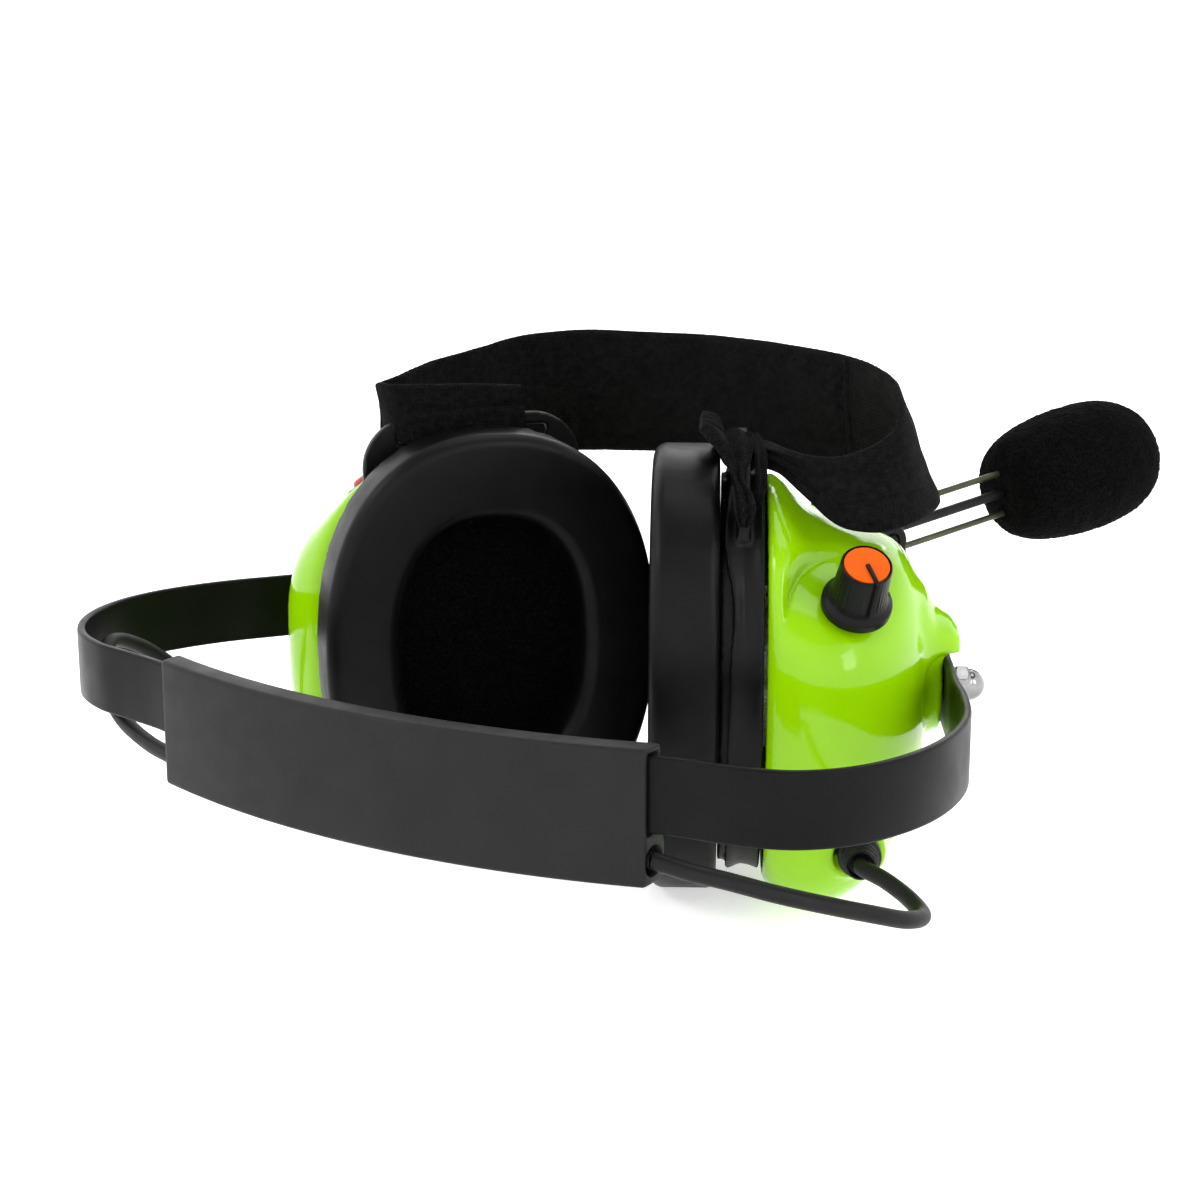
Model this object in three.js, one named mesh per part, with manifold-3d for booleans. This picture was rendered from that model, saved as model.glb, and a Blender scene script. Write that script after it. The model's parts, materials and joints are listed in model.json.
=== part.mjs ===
// Two-way-radio headset worn behind the head. Millimetres, +Z up, z = 0 is the table.
// World frame: +X is the wearer's right, -Y is the neckband side, +Y the boom side.
// Cup frame: origin in the middle of the ear face, +X from the ear outward, +Z up.
// A cup's front is +1 or -1, so that (0, front, 0) points away from the neckband.
import * as THREE from 'three';
import { mergeVertices } from 'three/addons/utils/BufferGeometryUtils.js';
import Module from 'manifold-3d';

const wasm = await Module();
wasm.setup();

const GAP = 0.3;
const UP = new THREE.Vector3(0, 0, 1);

// Driving dimensions
const RIGHT = { name: 'right', front: 1, x: 20.2, y: -0.6, yaw: THREE.MathUtils.degToRad(29) };
const LEFT = { name: 'left', front: -1, x: -21.3, y: -7.8, yaw: THREE.MathUtils.degToRad(140) };
const CUP_HEIGHT = 55;
// Middle of the plan box, which becomes the origin
const MIDDLE = { x: -3.15, y: 29.57 };
const CUSHION = { half: 43.5, height: 55, depth: 16.5, edge: 5, holeHalf: 24.5, holeHeight: 33.5 };
const PLATE = { from: 16.8, step: 20, to: 27, half: 41, height: 50, rim: 5 };
const COLLAR = { half: 38, height: 48, holeHalf: 26, holeHeight: 35 };
const TAB = { half: 29, top: 57, round: 13, from: 20.6, thick: 2.8, slotHalf: 20, slotLow: 50.6, slotHigh: 53.6 };
const WALL = 2.5;
const STUD = { back: 5, up: -2.6, radius: 2.4, bore: 2.7 };
const STRIP = { height: 17.3, thick: 2, level: 52.4, depth: 71 };
const SLEEVE = { radius: 210, halfLength: 67, nose: -90.75, thick: 6.5, low: 32, high: 63 };
const FLEX_X = 64;
const CABLE = { radius: 2, level: 37.3, inset: 0.6 };
const GLAND = { depth: 50, up: -34.5, face: 39, length: 6.5 };
const STRAP = { thick: 2.4 };
const KNOB = { at: [47.7, 33.5, 22.7], axis: [0.12, 0.58, 0.8], pad: 10, skirt: 8.3, body: 6, height: 17 };
const TALK = { at: [38, 21.2, 34.6], axis: [0.3, 0.45, 0.84], pad: 8, button: 4.9 };
const BOOM = { at: [57.6, 49.7, 22.5], yaw: THREE.MathUtils.degToRad(31), rise: THREE.MathUtils.degToRad(10) };
const WIRE = { radius: 0.85, spread: 5.7, from: -8, to: 43.7 };

// Shell outline along its depth: reach to the back and the front, height above and depth below the ear centre
const SHELL = [
  { x: 27.3, back: 41, front: 40, up: 49.5, down: 51 },
  { x: 32, back: 43.5, front: 40, up: 46, down: 53.5 },
  { x: 38, back: 45.5, front: 39.5, up: 40.5, down: 55 },
  { x: 44, back: 45.5, front: 38, up: 37.5, down: 54.5 },
  { x: 51, back: 42.5, front: 35.2, up: 35, down: 51 },
  { x: 57, back: 37, front: 31.5, up: 33.5, down: 44.5 },
  { x: 62, back: 29.5, front: 26, up: 29.5, down: 36 },
  { x: 65.5, back: 21, front: 19, up: 22.5, down: 26 },
  { x: 67.5, back: 11.5, front: 11, up: 12.5, down: 15 },
];

// The cords' routes, chosen by hand, from the sleeve's mouth to the gland
const CABLE_RIGHT = [
  [66.8, -79.2, 37.3],
  [74, -77.2, 35.6],
  [82.3, -73.9, 33.9],
  [91, -68.5, 31],
  [98.8, -60.6, 27.5],
  [105.4, -51.6, 23.8],
  [110, -42.5, 20.3],
  [109.6, -33.8, 18.3],
  [103.2, -27.2, 18.9],
  [95.3, -22.8, 20.2],
];
const CABLE_LEFT = [
  [-66.8, -79.2, 37.3],
  [-80, -75, 38.2],
  [-94, -69.5, 41.5],
  [-106, -62, 48.5],
  [-112.5, -52, 54],
  [-112.5, -41.5, 50.5],
  [-108, -32, 42],
  [-102.5, -23.5, 30],
  [-97, -18, 19.5],
];

// The neckband strip's arms, seen from above, from inside the sleeve to the cup
const ARM_RIGHT = [
  [66, -80.2],
  [74, -78.6],
  [85, -77.4],
  [97, -73.5],
  [106.5, -64.5],
  [112.5, -51],
  [114.5, -36],
  [112, -19],
  [105.5, -4.5],
];
const ARM_LEFT = [
  [-66, -80.2],
  [-74, -78],
  [-84, -76],
  [-96, -73.5],
  [-108, -67],
  [-117, -56],
  [-121.5, -42],
  [-120.5, -26.5],
  [-113.5, -9.5],
  [-104, 4.5],
];

// The head strap's two long edges, from the left fold over to the right cup
const STRAP_TOP = [
  [-60, -3, 120],
  [-57.3, 15, 123],
  [-53, 32, 125.3],
  [-48, 45, 127.3],
  [-38, 57, 128.2],
  [-20.7, 62, 128.4],
  [-2, 62, 128.9],
  [18.3, 58, 129.2],
  [34, 52.5, 129.2],
  [51.2, 44, 129],
  [64, 33, 128.5],
  [71.5, 25, 127.5],
  [77, 17, 124.5],
  [80, 9, 119.5],
  [77.5, 3, 115.5],
  [70, 0, 112.5],
  [60, 1.5, 112],
  [51, 5, 112.5],
  [44, 9.3, 112.5],
];
const STRAP_LOW = [
  [-59, -4, 104],
  [-57.5, 15, 101.5],
  [-54, 32, 97.5],
  [-48.5, 46, 95.3],
  [-37, 57.3, 94.8],
  [-20.5, 62.3, 95.3],
  [-1.6, 62.3, 96.5],
  [19, 58.5, 97.5],
  [36, 53.5, 98],
  [54, 45.5, 98.5],
  [70, 37, 98.8],
  [81.5, 27, 99],
  [88, 16, 99.5],
  [88.5, 4, 98.5],
  [83.5, -5, 97],
  [75, -7.5, 97.5],
  [64, -3.5, 102],
  [53, 3, 106],
  [44.5, 8.5, 106],
];

const material = (color, roughness, metalness = 0) =>
  new THREE.MeshStandardMaterial({ color, roughness, metalness });

const MATERIALS = {
  lime: material(0x96d400, 0.18),
  blackPlastic: material(0x141414, 0.45),
  vinyl: material(0x1a1a1b, 0.5),
  foam: material(0x101010, 0.95),
  rubber: material(0x161616, 0.6),
  webbing: material(0x151515, 0.9),
  chrome: material(0xd0d2d4, 0.15, 1),
  steel: material(0x8f8f80, 0.35, 1),
  orange: material(0xff7a1a, 0.4),
  olive: material(0x2e301c, 0.5),
  red: material(0xb0261a, 0.4),
  board: material(0x1d5a35, 0.5),
};

// Solids

function soldered(geometry) {
  const bare = new THREE.BufferGeometry();
  bare.setAttribute('position', geometry.getAttribute('position').clone());
  bare.setIndex(geometry.getIndex());
  return mergeVertices(bare, 1e-4);
}

function signedVolume(geometry) {
  const position = geometry.getAttribute('position');
  const index = geometry.getIndex();
  const [a, b, c] = [new THREE.Vector3(), new THREE.Vector3(), new THREE.Vector3()];
  let total = 0;
  for (let i = 0; i < index.count; i += 3) {
    a.fromBufferAttribute(position, index.getX(i));
    b.fromBufferAttribute(position, index.getX(i + 1));
    c.fromBufferAttribute(position, index.getX(i + 2));
    total += a.dot(b.cross(c)) / 6;
  }
  return total;
}

function facingOut(geometry) {
  const closed = soldered(geometry);
  if (signedVolume(closed) < 0) {
    const index = closed.getIndex();
    for (let i = 0; i < index.count; i += 3) {
      const first = index.getX(i);
      index.setX(i, index.getX(i + 1));
      index.setX(i + 1, first);
    }
  }
  return closed;
}

function toManifold(geometry) {
  const closed = facingOut(geometry);
  const vertProperties = Float32Array.from(closed.getAttribute('position').array);
  const triVerts = Uint32Array.from(closed.getIndex().array);
  return new wasm.Manifold(new wasm.Mesh({ numProp: 3, vertProperties, triVerts }));
}

function fromManifold(solid) {
  const mesh = solid.getMesh();
  const geometry = new THREE.BufferGeometry();
  geometry.setAttribute('position', new THREE.BufferAttribute(mesh.vertProperties, 3));
  geometry.setIndex(new THREE.BufferAttribute(mesh.triVerts, 1));
  return geometry;
}

function shaped(body, { add = [], cut = [] }) {
  let solid = toManifold(body);
  for (const piece of add) {
    solid = solid.add(toManifold(piece));
  }
  for (const piece of cut) {
    solid = solid.subtract(toManifold(piece));
  }
  return fromManifold(solid);
}

// Rounded oval outline; power 2 is an ellipse, more is squarer
function oval(half, up, down = up, powerUp = 2.3, powerDown = powerUp, count = 32) {
  const points = [];
  for (let i = 0; i < count; i += 1) {
    const angle = (2 * Math.PI * i) / count;
    const power = Math.sin(angle) < 0 ? powerDown : powerUp;
    const reach = Math.sin(angle) < 0 ? down : up;
    const x = Math.sign(Math.cos(angle)) * Math.abs(Math.cos(angle)) ** (2 / power) * half;
    const y = Math.sign(Math.sin(angle)) * Math.abs(Math.sin(angle)) ** (2 / power) * reach;
    points.push(new THREE.Vector2(x, y));
  }
  return points;
}

// A shape drawn as (across, up) and thickened along the cup's depth
function slab(points, from, thick, holes = [], edge = 0) {
  const shape = new THREE.Shape(points);
  shape.holes = holes.map((hole) => new THREE.Path(hole));
  const geometry = new THREE.ExtrudeGeometry(shape, {
    depth: thick - 2 * edge,
    bevelEnabled: edge > 0,
    bevelThickness: edge,
    bevelSize: edge,
    bevelOffset: -edge,
    bevelSegments: 2,
  });
  geometry.translate(0, 0, from + edge);
  return geometry.applyMatrix4(
    new THREE.Matrix4().makeBasis(
      new THREE.Vector3(0, 1, 0),
      new THREE.Vector3(0, 0, 1),
      new THREE.Vector3(1, 0, 0),
    ),
  );
}

// A closed skin through rings of points that all have the same count
function skin(rings) {
  const count = rings[0].length;
  const vertices = rings.flat().flatMap((p) => [p.x, p.y, p.z]);
  const index = [];
  for (let r = 0; r + 1 < rings.length; r += 1) {
    for (let i = 0; i < count; i += 1) {
      const a = r * count + i;
      const b = r * count + ((i + 1) % count);
      index.push(a, b, b + count, a, b + count, a + count);
    }
  }
  for (const [ring, flip] of [[0, true], [rings.length - 1, false]]) {
    const centre = vertices.length / 3;
    const middle = rings[ring].reduce((sum, p) => sum.add(p), new THREE.Vector3()).divideScalar(count);
    vertices.push(middle.x, middle.y, middle.z);
    for (let i = 0; i < count; i += 1) {
      const a = ring * count + i;
      const b = ring * count + ((i + 1) % count);
      index.push(...(flip ? [b, a, centre] : [a, b, centre]));
    }
  }
  const geometry = new THREE.BufferGeometry();
  geometry.setAttribute('position', new THREE.Float32BufferAttribute(vertices, 3));
  geometry.setIndex(index);
  return geometry;
}

// A turned piece along +Z from [radius, height] pairs that start and end on the axis
function turned(profile, sides = 16) {
  const points = profile.map(([radius, height]) => new THREE.Vector2(radius, height));
  return new THREE.LatheGeometry(points, sides).rotateX(Math.PI / 2);
}

const rod = (radius, from, to, sides = 16) =>
  turned([[0, from], [radius, from], [radius, to], [0, to]], sides);

const box = (x0, x1, y0, y1, z0, z1) =>
  new THREE.BoxGeometry(x1 - x0, y1 - y0, z1 - z0).translate((x0 + x1) / 2, (y0 + y1) / 2, (z0 + z1) / 2);

// Turns a piece made along +Z to point along an axis, and moves its origin
function aimed(geometry, axis, at) {
  const turn = new THREE.Quaternion().setFromUnitVectors(UP, axis.clone().normalize());
  return geometry.applyQuaternion(turn).translate(at.x, at.y, at.z);
}

const ALONG_X = new THREE.Vector3(1, 0, 0);
const ORIGIN = new THREE.Vector3();

// A length of cable
function tube(curve, steps) {
  const outline = oval(CABLE.radius, CABLE.radius, CABLE.radius, 2, 2, 8);
  return new THREE.ExtrudeGeometry(new THREE.Shape(outline), { steps, extrudePath: curve });
}

// The level arc of the sleeve, at an offset toward the wearer
class SleeveArc extends THREE.Curve {
  constructor(halfLength, offset, level) {
    super();
    this.radius = SLEEVE.radius - offset;
    this.reach = Math.asin(halfLength / this.radius);
    this.level = level;
  }

  getPoint(t, target = new THREE.Vector3()) {
    const angle = (2 * t - 1) * this.reach;
    const x = this.radius * Math.sin(angle);
    const y = SLEEVE.nose + SLEEVE.radius - this.radius * Math.cos(angle);
    return target.set(x, y, this.level);
  }
}

// Part of a longer curve, by length
class Stretch extends THREE.Curve {
  constructor(whole, from, to) {
    super();
    this.whole = whole;
    this.from = from;
    this.to = to;
  }

  getPoint(t, target = new THREE.Vector3()) {
    return target.copy(this.whole.getPointAt(THREE.MathUtils.lerp(this.from, this.to, t)));
  }
}

const smooth = (points) =>
  new THREE.CatmullRomCurve3(points.map((p) => new THREE.Vector3(...p)), false, 'centripetal');

// Cup frame helpers

const onCup = (cup, [depth, back, up]) => new THREE.Vector3(depth, -cup.front * back, up);

const inWorld = (cup, place) =>
  onCup(cup, place)
    .applyAxisAngle(UP, cup.yaw)
    .add(new THREE.Vector3(cup.x, cup.y, CUP_HEIGHT));

// Cup pieces

function earCushion() {
  const hole = oval(CUSHION.holeHalf, CUSHION.holeHeight, CUSHION.holeHeight, 2.4);
  return slab(oval(CUSHION.half, CUSHION.height), 0, CUSHION.depth, [hole], CUSHION.edge);
}

function tabOutline() {
  const low = PLATE.height - 12;
  const shape = new THREE.Shape();
  shape.moveTo(-TAB.half, low);
  shape.lineTo(TAB.half, low);
  shape.absarc(TAB.half - TAB.round, TAB.top - TAB.round, TAB.round, 0, Math.PI / 2, false);
  shape.absarc(TAB.round - TAB.half, TAB.top - TAB.round, TAB.round, Math.PI / 2, Math.PI, false);
  return shape.getPoints(6);
}

function sealPlate() {
  const collar = slab(oval(COLLAR.half, COLLAR.height), PLATE.from, PLATE.step + 0.5 - PLATE.from);
  const body = slab(oval(PLATE.half, PLATE.height), PLATE.step, PLATE.to - PLATE.step);
  const tab = slab(tabOutline(), TAB.from, TAB.thick);
  const hole = slab(oval(COLLAR.holeHalf, COLLAR.holeHeight), PLATE.from - 1, 10);
  const room = slab(oval(PLATE.half - PLATE.rim, PLATE.height - PLATE.rim), PLATE.step, 20);
  const slot = box(0, 60, -TAB.slotHalf, TAB.slotHalf, TAB.slotLow, TAB.slotHigh);
  return shaped(body, { add: [collar, tab], cut: [hole, room, slot] });
}

function ovalPad(margin, from, thick) {
  const half = PLATE.half - PLATE.rim - margin;
  const height = PLATE.height - PLATE.rim - margin;
  return slab(oval(half, height), from, thick);
}

function baffle() {
  return shaped(ovalPad(0.4, 23.9, 2.4), { cut: [aimed(rod(16, 20, 30, 24), ALONG_X, ORIGIN)] });
}

function speaker() {
  const profile = [[0, 26.7], [20, 26.7], [20, 29], [14, 32], [12, 32.5], [12, 40], [0, 40]];
  return aimed(turned(profile, 24), ALONG_X, ORIGIN);
}

function shellSkin(cup, inset) {
  const first = SHELL[0].x;
  const last = SHELL[SHELL.length - 1].x;
  const rings = SHELL.map((row) => {
    const open = inset > 0 && row.x === first ? 8 : 0;
    const x = row.x - (inset * (row.x - first)) / (last - first) - open;
    const half = (row.back + row.front) / 2 - inset;
    const shift = (row.back - row.front) / 2;
    const outline = oval(half, row.up - inset, row.down - inset, 2.3, 3);
    return outline.map((p) => new THREE.Vector3(x, p.x - cup.front * shift, p.y));
  });
  return skin(rings);
}

function hood(cup) {
  const corners = [[60, 7.3], [75, 7.3], [75.2, 9], [74.9, 12.6], [73, 14.8], [68.5, 17.5], [65.5, 21.5], [60, 25]];
  const outline = corners.map((p) => new THREE.Vector2(...p));
  const depth = 17;
  const geometry = new THREE.ExtrudeGeometry(new THREE.Shape(outline), { depth, bevelEnabled: false });
  return geometry
    .rotateX(Math.PI / 2)
    .translate(0, -cup.front * STUD.back + depth / 2, 0);
}

function shell(cup, pads, bores) {
  const stud = onCup(cup, [0, STUD.back, STUD.up]);
  const back = onCup(cup, [0, 1, 0]);
  const gland = onCup(cup, [GLAND.depth, 0, GLAND.up]);
  const add = [
    aimed(rod(11, 58, STRIP.depth - GAP, 24), ALONG_X, stud),
    hood(cup),
    aimed(rod(6.5, 10, GLAND.face), back, gland),
    ...pads,
  ];
  const cut = [
    shellSkin(cup, WALL),
    aimed(rod(STUD.bore, 50, 90), ALONG_X, stud),
    aimed(rod(3.6, 0, 50), back, gland),
    aimed(rod(6, GLAND.face, 50), back, gland),
    ...bores,
  ];
  return shaped(shellSkin(cup, 0), { add, cut });
}

function stud(cup) {
  const profile = [[0, 59.5], [5, 59.5], [5, 62.5], [STUD.radius, 62.5], [STUD.radius, 79], [0, 79]];
  return aimed(turned(profile), ALONG_X, onCup(cup, [0, STUD.back, STUD.up]));
}

function washer(cup) {
  const from = STRIP.depth + STRIP.thick + GAP;
  const ring = [[STUD.bore, from], [5.4, from], [5.4, from + 0.8], [STUD.bore, from + 0.8], [STUD.bore, from]];
  return aimed(turned(ring), ALONG_X, onCup(cup, [0, STUD.back, STUD.up]));
}

function acornNut(cup) {
  const from = 74.5;
  const at = onCup(cup, [0, STUD.back, STUD.up]);
  const dome = turned([[0, from], [3.9, from], [3.9, 78], [3.3, 80], [2, 81.4], [0, 82]]);
  return shaped(aimed(rod(4.7, from, from + 3.4, 6), ALONG_X, at), {
    add: [aimed(dome, ALONG_X, at)],
    cut: [aimed(rod(STUD.bore, from - 1, 79.4), ALONG_X, at)],
  });
}

function cableGland(cup) {
  const from = GLAND.face + GAP;
  const to = GLAND.face + GLAND.length;
  const profile = [[0, 26], [3.3, 26], [3.3, from], [5.2, from], [5.2, from + 3], [4.3, from + 4], [3.4, to], [0, to]];
  return aimed(turned(profile), onCup(cup, [0, 1, 0]), onCup(cup, [GLAND.depth, 0, GLAND.up]));
}

function commonPieces(cup, pads, bores) {
  const name = (piece) => `${cup.name}_${piece}`;
  return [
    [name('ear_cushion'), earCushion(), MATERIALS.vinyl],
    [name('foam_liner'), ovalPad(1, 20.8, 2.8), MATERIALS.foam],
    [name('seal_plate'), sealPlate(), MATERIALS.blackPlastic],
    [name('baffle'), baffle(), MATERIALS.blackPlastic],
    [name('speaker'), speaker(), MATERIALS.steel],
    [name('shell'), shell(cup, pads, bores), MATERIALS.lime],
    [name('pivot_stud'), stud(cup), MATERIALS.steel],
    [name('washer'), washer(cup), MATERIALS.steel],
    [name('acorn_nut'), acornNut(cup), MATERIALS.chrome],
    [name('cable_gland'), cableGland(cup), MATERIALS.rubber],
  ];
}

// Volume control, made along +Z from the shell's pad

const knobAxis = (cup) => onCup(cup, KNOB.axis);
const knobAt = (cup) => onCup(cup, KNOB.at);
const onKnob = (geometry) => aimed(geometry, knobAxis(RIGHT), knobAt(RIGHT));

function knobBody() {
  const { skirt, body, height } = KNOB;
  const profile = [
    [0, 12.8], [3.1, 12.8], [3.1, 6.2], [6.6, 6.2], [6.6, 2.2], [skirt, 2.2], [skirt, 4.6],
    [body + 0.7, 6], [body, height - 0.4], [body - 0.4, height], [5.6, height], [5.6, height - 1.3],
    [0, height - 1.3],
  ];
  return onKnob(turned(profile, 24));
}

function knobPieces() {
  const pot = [[0, -14.5], [7, -14.5], [7, -7.5], [3.4, -7.5], [3.4, 5], [0, 5]];
  const nut = [[4.2, 1.8], [6, 1.8], [6, 3.9], [4.2, 3.9], [4.2, 1.8]];
  const top = KNOB.height;
  return [
    ['volume_pot', onKnob(turned(pot)), MATERIALS.steel],
    ['pot_nut', onKnob(turned(nut, 6)), MATERIALS.steel],
    ['volume_shaft', onKnob(rod(2.8, 5.3, 12.5)), MATERIALS.steel],
    ['volume_knob', knobBody(), MATERIALS.blackPlastic],
    ['knob_cap', onKnob(rod(5.3, top - 1, top - 0.1, 24)), MATERIALS.orange],
    ['knob_pointer', onKnob(box(0, 5, -0.5, 0.5, top + 0.2, top + 0.7)), MATERIALS.blackPlastic],
  ];
}

function circuitBoard() {
  const chip = box(47, 49, -6, 6, -22, -12);
  return shaped(box(46, 47.6, -15, 15, -32, -8), { add: [chip] });
}

// Boom, made along +X from its tilt axis

function inBoomYaw(geometry) {
  return geometry.rotateZ(BOOM.yaw).translate(...BOOM.at);
}

const inBoom = (geometry) => inBoomYaw(geometry.rotateY(-BOOM.rise));

function boomBracket() {
  const plate = box(-14.3, -11.8, -9.2, 9.2, -10, 10);
  const ears = [-1, 1].flatMap((side) => {
    const inner = 7.2 * side;
    const outer = 9.2 * side;
    const [y0, y1] = [Math.min(inner, outer), Math.max(inner, outer)];
    return [box(-12, 0, y0, y1, -4.5, 4.5), rod(4.5, y0, y1).rotateX(-Math.PI / 2)];
  });
  const pinHole = rod(2.3, -20, 20).rotateX(-Math.PI / 2);
  return inBoomYaw(shaped(plate, { add: ears, cut: [pinHole] }));
}

function boomBlock() {
  const trunnion = rod(1.9, -9, 9).rotateX(-Math.PI / 2);
  const bores = [-1, 0, 1].map((row) => {
    const radius = row === 0 ? 1.8 : WIRE.radius + 0.35;
    return aimed(rod(radius, -20, 20, 12), ALONG_X, new THREE.Vector3(0, 0, row * WIRE.spread));
  });
  const screwHole = rod(1.75, 6.2, 20, 12);
  return inBoom(shaped(box(-6, 6, -6.5, 6.5, -9.5, 9.5), { add: [trunnion], cut: [...bores, screwHole] }));
}

function clampScrew() {
  const profile = [[0, 7.4], [1.4, 7.4], [1.4, 10.2], [4.2, 10.2], [4.5, 10.7], [4.5, 14], [4, 14.5], [0, 14.5]];
  return inBoom(turned(profile));
}

function micHousing() {
  const flange = box(44, 47, -4, 4, -7.8, 7.8);
  const barrel = turned([[0, 46], [7, 46], [8, 48], [8, 60], [7, 62], [0, 62]]);
  return inBoom(shaped(flange, { add: [aimed(barrel, ALONG_X, ORIGIN)] }));
}

function windscreen() {
  const foam = turned([
    [0, 46], [9, 45.2], [12, 45.8], [14.5, 48.8], [16.3, 54.5], [17.3, 62], [17.6, 70], [17, 78], [14.8, 85],
    [10.4, 90.2], [5, 92.4], [0, 93],
  ], 20);
  const room = rod(9, 40, 70);
  return inBoom(shaped(aimed(foam, ALONG_X, ORIGIN), { cut: [aimed(room, ALONG_X, ORIGIN)] }));
}

function boomPieces() {
  const along = (radius, up) =>
    inBoom(aimed(rod(radius, WIRE.from, WIRE.to, 8), ALONG_X, new THREE.Vector3(0, 0, up)));
  return [
    ['boom_bracket', boomBracket(), MATERIALS.blackPlastic],
    ['boom_block', boomBlock(), MATERIALS.blackPlastic],
    ['boom_clamp_screw', clampScrew(), MATERIALS.steel],
    ['boom_wire_upper', along(WIRE.radius, WIRE.spread), MATERIALS.steel],
    ['boom_wire_lower', along(WIRE.radius, -WIRE.spread), MATERIALS.steel],
    ['boom_cable', along(1.4, 0), MATERIALS.rubber],
    ['mic_housing', micHousing(), MATERIALS.blackPlastic],
    ['mic_capsule', inBoom(aimed(rod(4.8, 62.3, 66), ALONG_X, ORIGIN)), MATERIALS.steel],
    ['mic_windscreen', windscreen(), MATERIALS.foam],
  ];
}

function boomPad() {
  return inBoomYaw(box(-27, -14.6, -7, 7, -9, 9));
}

// Talk button, made along +Z from the left shell's pad

const onTalk = (geometry) => aimed(geometry, onCup(LEFT, TALK.axis), onCup(LEFT, TALK.at));

function talkPieces() {
  const ring = [[5.3, 1.8], [8, 1.8], [8, 3.2], [6.8, 4.4], [5.3, 4.4], [5.3, 1.8]];
  const button = [[0, -4], [TALK.button, -4], [TALK.button, 5.2], [3.6, 6.2], [0, 6.4]];
  return [
    ['talk_bezel', onTalk(turned(ring)), MATERIALS.olive],
    ['talk_button', onTalk(turned(button)), MATERIALS.red],
    ['talk_switch', onTalk(box(-5, 5, -5, 5, -13.5, -7)), MATERIALS.blackPlastic],
  ];
}

// Socket for the radio's lead, on the left cup's front

const SOCKET = { depth: 52, up: -30, face: 36.5 };
const socketAt = () => onCup(LEFT, [SOCKET.depth, 0, SOCKET.up]);
const socketAxis = () => onCup(LEFT, [0, -1, 0]);

function radioSocket() {
  const { face } = SOCKET;
  const profile = [
    [0, 25], [4.2, 25], [4.2, face + GAP], [6.2, face + GAP], [6.2, face + 3], [4.6, face + 4], [4.6, face + 8],
    [2.6, face + 8], [2.6, 30], [0, 30],
  ];
  return aimed(turned(profile), socketAxis(), socketAt());
}

// Neckband

function sleeve() {
  const middle = (SLEEVE.low + SLEEVE.high) / 2;
  const half = SLEEVE.thick / 2;
  const top = SLEEVE.high - middle;
  const low = SLEEVE.low - middle;
  const swell = 2;
  const shape = new THREE.Shape();
  shape.moveTo(-half, low + 1.5);
  shape.lineTo(-half, top - 1);
  shape.quadraticCurveTo(-half, top, 1 - half, top);
  shape.lineTo(half - 1, top);
  shape.quadraticCurveTo(half, top, half, top - 1);
  shape.lineTo(half, low + 12);
  shape.quadraticCurveTo(half + swell, low + 10, half + swell, low + 6);
  shape.quadraticCurveTo(half + swell, low, half - 1, low);
  shape.lineTo(1.5 - half, low);
  shape.quadraticCurveTo(-half, low, -half, low + 1.5);
  const slotHalf = STRIP.thick / 2 + 0.9;
  const slotLow = STRIP.level - STRIP.height / 2 - 0.5 - middle;
  const slotHigh = STRIP.level + STRIP.height / 2 + 0.5 - middle;
  const slot = [[-slotHalf, slotLow], [slotHalf, slotLow], [slotHalf, slotHigh], [-slotHalf, slotHigh]];
  const channel = oval(3.3, 3.4, 3.4, 2, 2, 10).map((p) => [p.x + CABLE.inset, p.y + CABLE.level - middle]);
  const turnedIn = ([x, y]) => new THREE.Vector2(-y, x);
  const outline = new THREE.Shape(shape.getPoints(2).map((p) => turnedIn([p.x, p.y])));
  outline.holes = [slot, channel].map((hole) => new THREE.Path(hole.map(turnedIn)));
  const extrudePath = new SleeveArc(SLEEVE.halfLength, 0, middle);
  return new THREE.ExtrudeGeometry(outline, { steps: 16, extrudePath });
}

// A standing strip through plan points
function strip(curve, steps) {
  const sides = [[], []];
  for (let i = 0; i <= steps; i += 1) {
    const point = curve.getPointAt(i / steps);
    const tangent = curve.getTangentAt(i / steps);
    for (const [k, sign] of [[0, 1], [1, -1]]) {
      const offset = (sign * STRIP.thick) / 2;
      sides[k].push(new THREE.Vector2(point.x - tangent.y * offset, point.y + tangent.x * offset));
    }
  }
  const shape = new THREE.Shape([...sides[0], ...sides[1].reverse()]);
  const geometry = new THREE.ExtrudeGeometry(shape, { depth: STRIP.height, bevelEnabled: false });
  return geometry.translate(0, 0, STRIP.level - STRIP.height / 2);
}

function armCurve(cup, bend) {
  const side = Math.sign(cup.x);
  const x = FLEX_X - 2.2;
  const y = SLEEVE.nose + SLEEVE.radius - Math.sqrt(SLEEVE.radius ** 2 - x ** 2);
  const plane = STRIP.depth + STRIP.thick / 2;
  const straight = [30, 22, 14, 5, -6].map((back) => {
    const point = inWorld(cup, [plane, back, 0]);
    return [point.x, point.y, 0];
  });
  const inside = [side * x, y, 0];
  return smooth([inside, ...bend.map(([bx, by]) => [bx, by, 0]), ...straight]);
}

function arm(cup, bend) {
  const hole = aimed(rod(STUD.bore + 0.1, 60, 90), ALONG_X, onCup(cup, [0, STUD.back, 0]))
    .rotateZ(cup.yaw)
    .translate(cup.x, cup.y, CUP_HEIGHT + STUD.up);
  return shaped(strip(armCurve(cup, bend), 36), { cut: [hole] });
}

// Cords and strap

function cableRoute(cup, points) {
  const mouth = GLAND.face + GLAND.length + GAP;
  const ends = [mouth + 2.5, mouth].map((back) => inWorld(cup, [GLAND.depth, back, GLAND.up]));
  return smooth([...points, ...ends.map((p) => p.toArray())]);
}

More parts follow.
